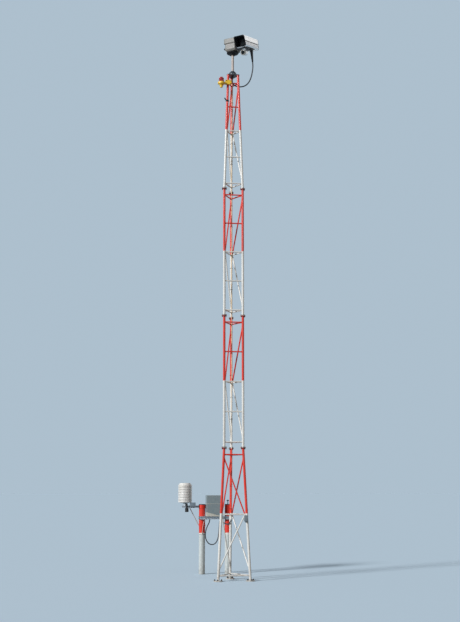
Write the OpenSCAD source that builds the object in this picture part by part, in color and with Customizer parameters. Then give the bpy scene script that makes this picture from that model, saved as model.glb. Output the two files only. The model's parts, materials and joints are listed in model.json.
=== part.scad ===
/* [Lattice] */
// Leg spacing at the ground, centre to centre
foot_face_w = 600; // [480:10:740]
// Leg spacing through the two straight middle sections
waist_face_w = 360; // [300:5:440]
// Leg spacing under the top plate
head_face_w = 197; // [180:1:230]
// Height of the splayed base section
base_section_h = 2430; // [1900:10:3000]
// Height of each of the two straight sections
mid_section_h = 2510; // [2000:10:3100]
// Height of the tapered top section
top_section_h = 2350; // [1900:10:2900]
// Diameter of a leg tube
leg_d = 48; // [38:1:52]
// Diameter of a horizontal or diagonal bar
brace_d = 26; // [18:1:30]
// Height of the lowest ring of bars above the ground
foot_ring_z = 100; // [60:5:200]
// Distance of a section's lowest ring of bars above its flange
low_ring_inset = 108; // [70:1:200]
// Distance of a section's highest ring of bars below its flange
high_ring_inset = 127; // [70:1:200]
// Distance of the highest ring of bars from the top plate
head_ring_inset = 170; // [80:5:250]
// Height of the top section's middle ring above its half height
top_mid_rise = 40; // [0:5:80]
// Distance along a leg between a ring and the end of a diagonal
diagonal_gap = 45; // [25:1:80]
// The same distance above the lowest ring of all
foot_diagonal_gap = 90; // [40:1:140]
// Gap left for the weld between a bar and its leg
weld_gap = 0.3; // [0.2:0.1:0.5]

/* [Flanges and feet] */
// Diameter of the round flange at each end of a leg
flange_d = 95; // [80:1:110]
// Thickness of a leg flange
flange_t = 10; // [6:1:16]
// Bolt circle of a leg flange
flange_pcd = 72; // [68:1:80]
// Bolt hole in a leg flange
flange_hole_d = 13; // [9:0.5:15]
// Number of bolts in each flange
flange_bolts = 4; // [3:1:6]
// Diameter of the round plate under each foot
foot_plate_d = 170; // [140:5:220]
// Thickness of a foot plate
foot_plate_t = 14; // [8:1:25]
// Bolt circle of a foot plate
foot_pcd = 125; // [100:1:150]
// Anchor hole in a foot plate
anchor_hole_d = 18; // [12:1:24]
// Diameter of the flange at a leg's upper end, under the top plate
head_flange_d = 58; // [54:1:76]

/* [Mast head] */
// Thickness of the top plate
top_plate_t = 15; // [8:1:25]
// Diameter of the pole that carries the camera head
pole_d = 50; // [40:1:60]
// Height of the pole above the top plate
pole_h = 447; // [340:1:520]
// Depth of the pole in the camera head
pole_entry = 20; // [10:1:22]
// Diameter of the socket's foot
socket_d = 168; // [130:2:180]
// Height of the domed socket
socket_h = 90; // [60:2:110]
// Clearance of a round piece in its bore
fit_gap = 0.3; // [0.2:0.1:0.5]
// Diameter of a cable gland's body
gland_d = 36; // [30:1:44]
// Length of a cable gland
gland_l = 25; // [18:1:40]

/* [Pan and tilt head] */
// Direction of the tilt axis at rest, turned from the right
pan_rest = -37; // [-60:1:-15]
// Angle by which the camera looks down at rest
tilt_rest = 12; // [0:1:25]
// Height of the black pan base
pan_base_h = 58; // [52:1:90]
// Diameter of the pan base at its top
pan_base_d = 236; // [200:2:270]
// Diameter of the pan base at its foot
pan_base_foot_d = 116; // [100:1:150]
// Width of the pan body's lower casting
pan_body_w = 236; // [180:2:250]
// Height of the pan body's lower casting
pan_body_h = 150; // [110:1:160]
// Width of the cover on the pan body
pan_cover_w = 272; // [235:1:290]
// Height of the cover on the pan body
pan_cover_h = 108; // [80:1:130]
// Gap under the turning body at its spigot
running_gap = 0.5; // [0.3:0.1:1]
// Diameter of the spigot that the body turns on
spigot_d = 70; // [50:1:90]
// Depth of the spigot in the pan base
spigot_l = 25; // [15:1:26]
// Diameter of the tilt shaft
shaft_d = 36; // [25:1:45]
// Distance between the tilt hub and the camera bracket
hub_gap = 7; // [5.5:0.5:12]
// Diameter of the tilt hub
hub_d = 120; // [90:2:140]

/* [Camera] */
// Width of the camera housing
housing_w = 240; // [200:2:280]
// Length of the camera housing's silver shell
housing_l = 550; // [480:5:600]
// Distance of the shell's front from the tilt axis
housing_front = 284; // [250:2:310]
// Height of the camera housing
housing_h = 214; // [180:2:250]
// Distance of the housing's middle from the pan axis
housing_x = 320; // [300:2:380]
// Thickness of the shell round its open front
housing_wall = 7; // [5:0.5:10]
// Reach of the housing's roof over its slanted front
visor_l = 50; // [20:2:70]
// Depth of the open front with its black lining
hood_l = 110; // [80:2:140]
// Length of the shelf under the housing
shelf_l = 320; // [260:5:330]
// Distance of the shelf's front edge from the tilt axis
shelf_front = 194; // [180:2:240]
// Thickness of the bracket's plates
bracket_t = 10; // [6:1:15]
// Diameter of the round unit under the camera
under_lamp_d = 110; // [80:2:140]
// Distance of its hanger in front of the tilt axis
under_lamp_front = 160; // [140:2:180]
// Length of the tapered boot on the cable
boot_l = 230; // [190:5:260]
// Diameter of the camera cable
camera_cable_d = 24; // [18:1:26]

/* [Obstruction light] */
// Distance of the light from its leg
light_reach = 137; // [130:1:180]
// Diameter of the light's base
light_d = 140; // [90:2:144]
// Height of the bracket below the top plate
light_drop = 172; // [160:2:260]
// Width of the bracket's block on the leg
light_block_w = 120; // [100:2:124]
// Height of the bracket's block
light_block_h = 88; // [60:2:100]

/* [Cable down the mast] */
// Diameter of the cable down the mast
mast_cable_d = 20; // [14:1:24]
// Distance between the cable and the axis of the back leg
cable_offset = 62; // [60:1:75]
// Width of the small box on the right leg
leg_box_w = 64; // [50:1:80]
// Distance of its middle to the left of the leg's axis
leg_box_shift = 28; // [0:1:32]
// Height of the small box
leg_box_h = 110; // [90:2:150]
// Distance of its front from the leg's axis
leg_box_front = 80; // [60:1:100]

/* [Equipment stand] */
// Distance of the stand behind the mast's axis
stand_back = 1500; // [1300:20:1800]
// Place of the left post, from the mast's axis
left_post_x = -395; // [-450:5:-350]
// Distance between the posts
post_spacing = 520; // [480:5:600]
// Diameter of a post
post_d = 124; // [90:1:135]
// Height of the posts
post_h = 1350; // [1200:10:1600]
// Height of the crossbeam's middle
beam_z = 1095; // [900:5:1200]
// Height of the crossbeam's section
beam_h = 60; // [40:1:80]
// Depth of the crossbeam's section
beam_t = 40; // [30:1:60]
// Width of the cabinet
cabinet_w = 296; // [240:2:320]
// Depth of the cabinet
cabinet_t = 200; // [150:2:260]
// Height of the cabinet
cabinet_h = 400; // [360:2:520]
// Height of the sun hood over the cabinet
cabinet_hood_h = 410; // [280:5:410]
// Drop of the hood's lower edge from its left end to its right
hood_slant = 80; // [0:5:120]
// Diameter of the louvred screen
screen_d = 280; // [230:2:330]
// Number of louvre plates
screen_plates = 11; // [8:1:13]
// Distance between louvre plates
plate_pitch = 32; // [27:1:38]
// Depth of the gap between two plates
plate_gap_depth = 20; // [12:1:34]
// Distance of the screen from the left post
screen_reach = 344; // [300:2:420]

/* [Hidden] */

red = "#c9301f";
white = "#ecebe6";
LEG_ANGLES = [90, 210, 330];
BACK = 0;
LEFT = 1;
RIGHT = 2;
brace_sides = 8;
foot_r = foot_face_w / sqrt(3);
waist_r = waist_face_w / sqrt(3);
head_r = head_face_w / sqrt(3);
level_z = [
  0,
  base_section_h,
  base_section_h + mid_section_h,
  base_section_h + 2 * mid_section_h,
  base_section_h + 2 * mid_section_h + top_section_h
];
head_z = level_z[4];
plate_top_z = head_z + top_plate_t;
pan_base_z = plate_top_z + pole_h - pole_entry;
pan_z = pan_base_z + pan_base_h;
body_clear = 6;
body_z = pan_z + body_clear;
cover_z = body_z + pan_body_h;
tilt_z = cover_z - 10;
rest_gap = 0.3;
housing_rear = housing_l - housing_front;
hub_x = pan_cover_w / 2 + 18;
bracket_x = hub_x + hub_gap;
shelf_z = tilt_z - 20 - housing_h / 2;
light_z = head_z - light_drop;
beam_top_z = beam_z + beam_h / 2;
beam_y = stand_back - post_d / 2 - beam_t / 2 - 6;
right_post_x = left_post_x + post_spacing;
cabinet_x = (left_post_x + right_post_x) / 2 - 34;
cabinet_y = beam_y + 40;
screen_x = left_post_x - screen_reach;
screen_z = post_h + 50;
gland_x = [-240, -170, -100];
boot_y = 180;
peg_z = 9255;
arm_t = 44;
arm_h = 40;
arm_z = post_h - 35;
screen_box_x = screen_x + 95;

// The route of the camera's cable, from the boot round its lowest point to the gland in the top plate
camera_route = [
  [405, 5, 10146], [411, 14, 10095], [413, 20, 10033], [408, 21, 9966], [397, 20, 9901],
  [384, 16, 9837], [362, 10, 9768], [328, 5, 9698], [280, 0, 9639], [222, -6, 9601],
  [165, -11, 9586], [115, -13, 9585], [75, -13, 9591], [42, -11, 9605], [15, -7, 9628],
  [-4, -3, 9659], [-12, 0, 9695], [-8, 0, 9735], [0, 0, 9765], [0, 0, 9775]
];
// The place of its lowest point in the route
camera_low = 11;
// The route of the cabinet's cable, from its gland to the lowest clip on the back leg
cabinet_route = [
  [-240, 1500, 1085], [-240, 1500, 1055], [-251, 1496, 1005], [-280, 1480, 950], [-308, 1462, 892],
  [-327, 1446, 832], [-334, 1436, 770], [-330, 1430, 710], [-312, 1428, 653], [-282, 1428, 609],
  [-245, 1430, 583], [-205, 1434, 573], [-163, 1440, 580], [-125, 1448, 606], [-95, 1458, 650],
  [-74, 1468, 712], [-62, 1476, 785], [-55, 1480, 855], [-51, 1478, 920], [-49, 1464, 975],
  [-49, 1434, 1013], [-49, 1387, 1036], [-50, 1310, 1042], [-52, 1150, 1034], [-54, 900, 1022],
  [-54, 650, 1013], [-52, 450, 1006], [-49, 360, 1003], [-46, 305, 1006], [-40, 268, 1018],
  [-28, 243, 1037], [-13, 229, 1059], [-3, 224, 1075], [0, 223, 1085], [0, 222, 1100]
];

function radius_at(z) =
  z < level_z[1] ? foot_r + (waist_r - foot_r) * z / level_z[1]
  : z < level_z[3] ? waist_r
  : waist_r + (head_r - waist_r) * (z - level_z[3]) / (level_z[4] - level_z[3]);

function leg_point(leg, z) = [
  radius_at(z) * cos(LEG_ANGLES[leg]),
  radius_at(z) * sin(LEG_ANGLES[leg]),
  z
];

function low_ring(k) = level_z[k] + (k == 0 ? foot_ring_z : low_ring_inset);
function high_ring(k) = level_z[k + 1] - (k == 3 ? head_ring_inset : high_ring_inset);
function mid_ring(k) = (low_ring(k) + high_ring(k)) / 2 + (k == 3 ? top_mid_rise : 0);

// The clips sit halfway between the rings of bars, from the cable's first stretch up
clip_z = [for (k = [0:3]) for (ring = [low_ring(k), high_ring(k)]) if (k > 0 || ring > mid_ring(0))
  (ring + mid_ring(k)) / 2];

// The points of the cable down the back leg, one at each change of slope
mast_cable_route = concat([cabinet_route[len(cabinet_route) - 1]], [
  for (z = [1160, level_z[1] - 150, level_z[1] + 80, level_z[3] - 80, level_z[3] + 150, head_z - 110])
    [0, radius_at(z) - cable_offset, z],
  [0, head_r - cable_offset, head_z - 60],
  [0, head_r - cable_offset, head_z - gland_l]
]);

function unit(v) = v / norm(v);

// The direction of a route at its point i, the mean of the stretches that meet there
function heading(route, i) =
  i == 0 ? unit(route[1] - route[0])
  : i == len(route) - 1 ? unit(route[i] - route[i - 1])
  : unit(unit(route[i] - route[i - 1]) + unit(route[i + 1] - route[i]));

// A ring of points round a route's point, with the side vector kept level
function ring_at(route, i, r, sides, side) =
  let (
    d = heading(route, i),
    u = unit(cross(side, d)),
    v = cross(d, u)
  )
  [for (k = [0:sides - 1]) route[i] + r * (u * cos(360 * k / sides) + v * sin(360 * k / sides))];

// The origin is under the back leg's foot, and the pieces are drawn round the mast's axis
module from_axis() {
  translate([0, -foot_r, 0]) children();
}

// A round or many-sided rod from p to q. It is turned a quarter, so its seam lies beside its lean.
module rod(p, q, d, sides) {
  v = q - p;
  translate(p)
    rotate([0, acos(v.z / norm(v)), atan2(v.y, v.x)])
      rotate(90) cylinder(h = norm(v), d = d, $fn = sides);
}

// A tube along the route's points from one place to another, its first ring moved on by trim
module tube_along(route, from, to, d, sides, side, trim = 0) {
  n = to - from + 1;
  points = [
    for (i = [from:to]) for (p = ring_at(route, i, d / 2, sides, side))
      p + (i == from ? trim : 0) * heading(route, i)
  ];
  first = [for (k = [sides - 1:-1:0]) k];
  last = [for (k = [0:sides - 1]) (n - 1) * sides + k];
  skin = [
    for (i = [0:n - 2]) for (k = [0:sides - 1])
      each [
        [i * sides + k, i * sides + (k + 1) % sides, (i + 1) * sides + (k + 1) % sides],
        [i * sides + k, (i + 1) * sides + (k + 1) % sides, (i + 1) * sides + k]
      ]
  ];
  polyhedron(points, concat([first], skin, [last]));
}

module rounded_plate(w, l, t, r) {
  linear_extrude(t) {
    square([w - 2 * r, l], center = true);
    square([w, l - 2 * r], center = true);
    for (x = [-1, 1]) for (y = [-1, 1])
      translate([x * (w / 2 - r), y * (l / 2 - r)]) circle(r, $fn = 48);
  }
}

module bolt_holes(count, pcd, hole_d, t) {
  for (k = [0:count - 1])
    rotate(45 + 360 * k / count) translate([pcd / 2, 0, -1])
      cylinder(h = t + 2, d = hole_d, $fn = 32);
}

// A round plate on a leg, from height z up
module leg_plate(leg, z, at_z, d, t, count, pcd, hole_d) {
  p = leg_point(leg, at_z);
  translate([p.x, p.y, z]) rotate(LEG_ANGLES[leg]) difference() {
    cylinder(h = t, d = d, $fn = 64);
    bolt_holes(count, pcd, hole_d, t);
  }
}

module leg(k, i) {
  low_t = k == 0 ? foot_plate_t : flange_t;
  rod(leg_point(i, level_z[k] + low_t / 2), leg_point(i, level_z[k + 1] - flange_t / 2), leg_d, 64);
  if (k == 0)
    leg_plate(i, 0, 0, foot_plate_d, foot_plate_t, 4, foot_pcd, anchor_hole_d);
  else
    leg_plate(i, level_z[k], level_z[k], flange_d, flange_t, flange_bolts, flange_pcd, flange_hole_d);
  if (k == 3)
    translate([leg_point(i, head_z).x, leg_point(i, head_z).y, head_z - flange_t])
      cylinder(h = flange_t, d = head_flange_d, $fn = 64);
  else
    leg_plate(i, level_z[k + 1] - flange_t, level_z[k + 1], flange_d, flange_t,
      flange_bolts, flange_pcd, flange_hole_d);
}

module legs(k) {
  color(k == 0 ? white : red) from_axis() for (i = [0:2]) leg(k, i);
}

module bar(p, q) {
  rod(p, q, brace_d, brace_sides);
}

// One arm of a bent bar, run on a little past the bend
module bent_arm(p, bend) {
  bar(p, bend + brace_d / 2 * unit(bend - p));
}

// The point where a bent bar touches leg b, on the side towards leg a
function bend_point(a, b, z) =
  leg_point(b, z) + ((leg_d + brace_d) / 2 + weld_gap) * unit(leg_point(a, z) - leg_point(b, z));

// The third of the mast between leg a and the next, so that the bars of two sides meet in a mitre
module side_third(a) {
  rotate(LEG_ANGLES[a] + 60) translate([weld_gap, 0, 0]) linear_extrude(head_z)
    polygon([[0, 0], foot_r * [1, -sqrt(3)], foot_r * [1, sqrt(3)]]);
}

// The bars of one flat side of one section. A bent bar runs from leg a to leg b and back, twice.
module side_bars(k, a, b, diagonals, between) {
  low = low_ring(k);
  mid = mid_ring(k);
  high = high_ring(k);
  color(red) from_axis() intersection() {
    side_third(a);
    difference() {
      union() {
        for (z = concat([low, mid, high], between ? [(low + mid) / 2, (mid + high) / 2] : []))
          bar(leg_point(a, z), leg_point(b, z));
        if (diagonals) {
          bent_arm(leg_point(a, high - diagonal_gap), bend_point(a, b, mid + brace_d / 5));
          bent_arm(leg_point(a, low + (k == 0 ? foot_diagonal_gap : diagonal_gap)),
            bend_point(a, b, mid - brace_d / 5));
        }
      }
      for (i = [a, b])
        rod(leg_point(i, level_z[k]), leg_point(i, level_z[k + 1]), leg_d + 2 * weld_gap, 64);
    }
  }
}

module front_bars(k) {
  side_bars(k, LEFT, RIGHT, k == 0, k > 0);
}

module left_bars(k) {
  side_bars(k, BACK, LEFT, true, false);
}

module right_bars(k) {
  side_bars(k, RIGHT, BACK, true, false);
}

module top_plate() {
  r = head_flange_d / 2;
  color("#33363a") from_axis() translate([0, 0, head_z]) linear_extrude(top_plate_t) {
    for (i = [0:2]) translate(head_r * [cos(LEG_ANGLES[i]), sin(LEG_ANGLES[i])]) circle(r, $fn = 64);
    polygon([
      for (i = [0:2]) for (s = [-60, 60])
        head_r * [cos(LEG_ANGLES[i]), sin(LEG_ANGLES[i])]
          + r * [cos(LEG_ANGLES[i] + s), sin(LEG_ANGLES[i] + s)]
    ]);
  }
}

module gland(l) {
  cylinder(h = l * 0.55, d = gland_d, $fn = 6);
  cylinder(h = l, d = gland_d * 0.8, $fn = 48);
}

module plate_glands() {
  color("#1d1e20") from_axis() translate([0, 0, head_z]) mirror([0, 0, 1]) {
    gland(gland_l);
    translate([0, head_r - cable_offset, 0]) gland(gland_l);
  }
}

module pole_socket() {
  bore_r = pole_d / 2 + fit_gap;
  neck_r = pole_d / 2 + 9;
  color("#4c5156") from_axis() translate([0, 0, plate_top_z]) rotate_extrude($fn = 96)
    polygon([
      [bore_r, 0], [socket_d / 2, 0], [socket_d / 2, 10],
      for (a = [0:15:75])
        [neck_r + (socket_d / 2 - 6 - neck_r) * cos(a), 10 + (socket_h - 22) * sin(a)],
      [neck_r, socket_h - 10], [neck_r, socket_h], [bore_r, socket_h]
    ]);
}

module pole() {
  color("#cfcac2") from_axis() translate([0, 0, plate_top_z]) cylinder(h = pole_h, d = pole_d, $fn = 64);
}

module pan_base() {
  color("#1c1b1d") from_axis() translate([0, 0, pan_base_z]) difference() {
    rotate_extrude($fn = 96) polygon([
      [0, 0], [pan_base_foot_d / 2 - 4, 0], [pan_base_foot_d / 2, 4],
      [pan_base_foot_d / 2, 10], [pan_base_d / 2 - 8, pan_base_h - 26],
      [pan_base_d / 2, pan_base_h - 18], [pan_base_d / 2, pan_base_h - 3],
      [pan_base_d / 2 - 3, pan_base_h], [0, pan_base_h]
    ]);
    translate([0, 0, -1]) cylinder(h = pole_entry + 1, d = pole_d + 2 * fit_gap, $fn = 64);
    translate([0, 0, pan_base_h - spigot_l - 1])
      cylinder(h = spigot_l + 2, d = spigot_d + 2 * running_gap, $fn = 64);
  }
}

// The frame that turns with the pan axis: its X runs along the tilt axis
module turned_by_pan() {
  from_axis() rotate(pan_rest) children();
}

// The frame that turns with the tilt axis, in the pan frame
module turned_by_tilt() {
  turned_by_pan() translate([0, 0, tilt_z]) rotate([tilt_rest, 0, 0]) translate([0, 0, -tilt_z])
    children();
}

module side_profile(w, h, low_in, low_h, top_in) {
  polygon([
    [-w / 2 + low_in, 0], [w / 2 - low_in, 0], [w / 2, low_h], [w / 2, h - top_in],
    [w / 2 - top_in, h], [-w / 2 + top_in, h], [-w / 2, h - top_in], [-w / 2, low_h]
  ]);
}

// A square casting with a drawn-in foot, a chamfered top and round upright edges
module casting(w, h, low_in, low_h, top_in, corner_r) {
  intersection() {
    rounded_plate(w, w, h, corner_r);
    rotate([90, 0, 0]) linear_extrude(2 * w, center = true)
      side_profile(w, h, low_in, low_h, top_in);
    rotate([90, 0, 90]) linear_extrude(2 * w, center = true)
      side_profile(w, h, low_in, low_h, top_in);
  }
}

module pan_body() {
  color("#b9bcba") turned_by_pan() difference() {
    union() {
      translate([0, 0, body_z]) casting(pan_body_w, pan_body_h, 22, 34, 0.5, 26);
      translate([0, 0, pan_z + running_gap]) cylinder(h = body_clear, d = spigot_d + 40, $fn = 64);
      translate([0, 0, pan_z - spigot_l]) cylinder(h = spigot_l + body_clear, d = spigot_d, $fn = 64);
    }
    translate([0, 0, tilt_z]) rotate([0, 90, 0])
      cylinder(h = pan_body_w, d = hub_d + 2, $fn = 64);
  }
}

module pan_cover() {
  color("#c6c8c6") turned_by_pan() difference() {
    union() {
      translate([0, 0, cover_z]) casting(pan_cover_w, pan_cover_h, 6, 8, 14, 30);
      translate([pan_body_w / 4, 0, tilt_z]) rotate([0, 90, 0])
        cylinder(h = hub_x - pan_body_w / 4, d = hub_d, $fn = 96);
    }
    translate([hub_x - 60, 0, tilt_z]) rotate([0, 90, 0])
      cylinder(h = 61, d = shaft_d + 2 * running_gap, $fn = 64);
  }
}

module camera_bracket() {
  color("#3a3c3f") turned_by_tilt() {
    translate([bracket_x, 0, tilt_z]) rotate([0, 90, 0]) cylinder(h = 12, d = hub_d - 14, $fn = 96);
    translate([hub_x - 45, 0, tilt_z]) rotate([0, 90, 0])
      cylinder(h = 50 + hub_gap, d = shaft_d, $fn = 64);
    translate([bracket_x + 8, -shelf_front, shelf_z - rest_gap - bracket_t])
      cube([bracket_t, shelf_l, tilt_z - shelf_z + 70]);
    translate([bracket_x + 8, -shelf_front, shelf_z - rest_gap - bracket_t])
      cube([housing_x + housing_w / 2 - bracket_x - 24, shelf_l, bracket_t]);
  }
}

// The housing's outline seen along its length, with chamfered edges and a groove in each side
module housing_outline(w, h, groove_h) {
  difference() {
    polygon([
      [-w / 2 + 20, 0], [w / 2 - 20, 0], [w / 2, 20], [w / 2, h - 22], [w / 2 - 22, h],
      [-w / 2 + 22, h], [-w / 2, h - 22], [-w / 2, 20]
    ]);
    for (s = [-1, 1]) translate([s * w / 2, h * 0.46]) square([8, groove_h], center = true);
  }
}

module housing_shape(w, h, l, groove_h) {
  rotate([90, 0, 0]) linear_extrude(l) housing_outline(w, h, groove_h);
}

// A shape that runs back from the shell's front edge, smaller all round by inset
module behind_front(from_y, inset, l, groove_h = 12) {
  translate([housing_x, from_y + l - housing_front, shelf_z + inset])
    housing_shape(housing_w - 2 * inset, housing_h - 2 * inset, l, groove_h);
}

// Everything in front of the shell's slanted front edge, moved back by a distance
module before_slant(back) {
  translate([housing_x - housing_w, back - housing_front, shelf_z]) rotate([90, 0, 90])
    linear_extrude(2 * housing_w) scale([visor_l, housing_h])
      polygon([[0.2, -0.2], [-1.2, 1.2], [-2, 1.2], [-2, -0.2]]);
}

module camera_housing() {
  color("#e4e6e6") turned_by_tilt() difference() {
    behind_front(-visor_l, 0, housing_l + visor_l);
    behind_front(-visor_l - 1, housing_wall, hood_l + visor_l + 1);
    before_slant(0);
  }
}

// The black lining of the open front, a little short of the shell's edge
module camera_hood() {
  lining = 3;
  setback = 2;
  color("#141416") turned_by_tilt() difference() {
    behind_front(-visor_l, housing_wall + rest_gap, hood_l + visor_l - rest_gap, 13);
    behind_front(-visor_l - 1, housing_wall + rest_gap + lining, hood_l + visor_l + 2,
      13 + 2 * lining);
    before_slant(setback);
  }
}

module camera_window() {
  color("#20262b") turned_by_tilt()
    translate([housing_x, hood_l - housing_front - rest_gap, shelf_z + housing_h / 2])
      rotate([90, 0, 0]) cylinder(h = 8, d = housing_h - 60, $fn = 96);
}

module camera_rear() {
  color("#2a2b2d") turned_by_tilt() behind_front(housing_l, 0, 14);
}

module under_lamp() {
  hanger_h = 50;
  lamp_l = 110;
  color("#c2c5c6") turned_by_tilt()
    translate([housing_x, -under_lamp_front, shelf_z - 2 * rest_gap - bracket_t]) {
      translate([-30, -6, -hanger_h]) cube([60, 34, hanger_h]);
      translate([0, 60, -30 - under_lamp_d / 2]) rotate([90, 0, 0])
        cylinder(h = lamp_l, d = under_lamp_d, $fn = 96);
    }
}

module cable_boot() {
  color("#121213") turned_by_tilt()
    translate([housing_x, boot_y, shelf_z - rest_gap]) mirror([0, 0, 1])
      rotate_extrude($fn = 64) polygon([
        [0, 0], [34, 0], [34, 18], [30, 24], [camera_cable_d / 2 + 4, boot_l],
        [camera_cable_d / 2 + 0.8, boot_l], [camera_cable_d / 2 + 0.8, boot_l - 30], [0, boot_l - 30]
      ]);
}

module camera_cable_upper() {
  color("#16171a") from_axis() tube_along(camera_route, 0, camera_low, camera_cable_d, 10, [0, 1, 0]);
}

module camera_cable_lower() {
  color("#16171a") from_axis()
    tube_along(camera_route, camera_low, len(camera_route) - 1,
    camera_cable_d, 10, [0, 1, 0], trim = rest_gap);
}

// The light's bracket is clamped to the outer side of the left leg, clear of the ring of bars
function light_point() = leg_point(LEFT, light_z) - [0, brace_d / 2 + 27, 0];

module light_bracket() {
  p = light_point();
  arm_x = light_d / 2 - light_reach - 10;
  color("#e2c02c") from_axis() difference() {
    translate(p) {
      cube([light_block_w, 50, light_block_h], center = true);
      translate([arm_x, -22, -31]) cube([-light_block_w / 2 - arm_x + 10, 44, 24]);
    }
    translate([p.x - light_reach, p.y, light_z - 50])
      cylinder(h = 100, d = light_d + 2 * fit_gap, $fn = 96);
    rod(leg_point(LEFT, light_z - 100), leg_point(LEFT, light_z + 100), leg_d + 2 * fit_gap, 64);
  }
}

module light_base() {
  p = light_point();
  color("#e6c531") from_axis() translate([p.x - light_reach, p.y, light_z - 112])
    rotate_extrude($fn = 96) polygon([
      [0, 0], [24, 0], [30, 34], [52, 60], [light_d / 2, 72], [light_d / 2, 106], [54, 115], [0, 115]
    ]);
}

module light_dome() {
  p = light_point();
  color("#8e1414") from_axis() translate([p.x - light_reach, p.y, light_z + 3])
    rotate_extrude($fn = 96) polygon([
      [0, 0], [51, 0], [51, 59], for (a = [0:15:75]) [51 * cos(a), 59 + 51 * sin(a)], [0, 110]
    ]);
}

// A slanted peg on a clamp round the left leg
module leg_peg() {
  clamp_h = 32;
  peg_d = 22;
  p = leg_point(LEFT, peg_z);
  color("#2c2d30") from_axis() difference() {
    union() {
      translate([p.x, p.y, peg_z - clamp_h / 2]) cylinder(h = clamp_h, d = leg_d + 12, $fn = 64);
      rod(p + [-10, -4, -12], p + [-58, -10, 56], peg_d, 12);
    }
    rod(leg_point(LEFT, peg_z - 2 * clamp_h), leg_point(LEFT, peg_z + 2 * clamp_h),
      leg_d + 2 * fit_gap, 64);
  }
}

module leg_box() {
  z = mid_ring(0) - 15 - leg_box_h;
  p = leg_point(RIGHT, z + leg_box_h / 2);
  color("#6f8696") from_axis() difference() {
    translate([p.x - leg_box_shift - leg_box_w / 2, p.y - leg_box_front, z])
      cube([leg_box_w, leg_box_front - brace_d / 2 - 4, leg_box_h]);
    rod(leg_point(RIGHT, z - leg_d), leg_point(RIGHT, z + leg_box_h + leg_d), leg_d + 2 * fit_gap, 64);
  }
}

module mast_cable() {
  color("#1a1b1d") from_axis()
    tube_along(mast_cable_route, 0, len(mast_cable_route) - 1,
    mast_cable_d, 12, [1, 0, 0], trim = rest_gap);
}

module cable_clips() {
  band = 3;
  clip_h = 22;
  color("#2a2b2d") from_axis() for (z = clip_z) {
    p = leg_point(BACK, z);
    slope = leg_point(BACK, z + 50) - leg_point(BACK, z - 50);
    translate(p) rotate([-atan2(slope.y, slope.z), 0, 0]) translate([0, 0, -clip_h / 2])
      difference() {
        union() {
          cylinder(h = clip_h, d = leg_d + 2 * fit_gap + 2 * band, $fn = 64);
          translate([-4, -cable_offset, 0]) cube([8, cable_offset, clip_h]);
          translate([0, -cable_offset, 0])
            cylinder(h = clip_h, d = mast_cable_d + 2 * fit_gap + 2 * band, $fn = 48);
        }
        translate([0, 0, -1]) cylinder(h = clip_h + 2, d = leg_d + 2 * fit_gap, $fn = 64);
        translate([0, -cable_offset, -1])
          cylinder(h = clip_h + 2, d = mast_cable_d + 2 * fit_gap, $fn = 48);
      }
  }
}

module post(x) {
  from_axis() translate([x, stand_back, 0]) cylinder(h = post_h, d = post_d, $fn = 96);
}

module left_post() {
  color(red) post(left_post_x);
}

module right_post() {
  color(red) post(right_post_x);
}

// The caps of both posts, the right one with a small knob on a stem
module post_caps() {
  cap_t = 14;
  stem_h = 80;
  knob_h = 20;
  color("#3c3f44") from_axis() {
    for (x = [left_post_x, right_post_x])
      translate([x, stand_back, post_h]) cylinder(h = cap_t, d = post_d + 6, $fn = 96);
    translate([right_post_x, stand_back, post_h]) {
      cylinder(h = stem_h, d = 16, $fn = 32);
      translate([0, 0, stem_h - 5]) cylinder(h = knob_h, d1 = 60, d2 = 34, $fn = 64);
    }
  }
}

module stand_beam() {
  x0 = left_post_x - post_d / 2 - 4;
  wall = 4;
  color("#b9c2c4") from_axis() translate([x0, beam_y, beam_z]) rotate([90, 0, 90])
    linear_extrude(post_spacing + post_d + 8) difference() {
      square([beam_t, beam_h], center = true);
      translate([-wall, 0]) square([beam_t - 2 * wall, beam_h - 2 * wall], center = true);
      translate([-beam_t / 2, 0]) square([3 * wall, beam_h - 24], center = true);
    }
}

module beam_saddles() {
  back_y = beam_y + beam_t / 2;
  color("#8d9698") from_axis() for (x = [left_post_x, right_post_x]) difference() {
    translate([x - 35, back_y, beam_z - 25]) cube([70, stand_back - back_y - 20, 50]);
    translate([x, stand_back, beam_z - 50]) cylinder(h = 100, d = post_d + 2 * fit_gap, $fn = 96);
  }
}

module cabinet() {
  color("#c3ccce") from_axis() translate([cabinet_x, cabinet_y, beam_top_z])
    rounded_plate(cabinet_w, cabinet_t, cabinet_h, 8);
}

module cabinet_hood() {
  wall = 3;
  gap = 0.3;
  z = beam_top_z + cabinet_h - cabinet_hood_h + 12;
  w = cabinet_w + 2 * wall + 2 * gap;
  t = cabinet_t + 2 * wall + 2 * gap;
  color("#71868f") from_axis() translate([cabinet_x, cabinet_y, z]) difference() {
    rounded_plate(w, t, cabinet_hood_h, 9);
    translate([0, 0, -1]) rounded_plate(w - 2 * wall, t - 2 * wall, cabinet_hood_h - 11, 8);
    rotate([90, 0, 0]) linear_extrude(t + 2, center = true)
      polygon([[-w / 2 - 1, -1], [w / 2 + 1, -1], [w / 2 + 1, 0], [-w / 2 - 1, hood_slant]]);
  }
}

module cabinet_glands() {
  color("#1d1e20") from_axis() translate([0, stand_back, beam_top_z]) mirror([0, 0, 1])
    for (x = gland_x) translate([x, 0, 0]) gland(40);
}

module cabinet_cable() {
  color("#16171a") from_axis()
    tube_along(cabinet_route, 0, len(cabinet_route) - 1, mast_cable_d, 10, [1, 0, 0]);
}

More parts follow.
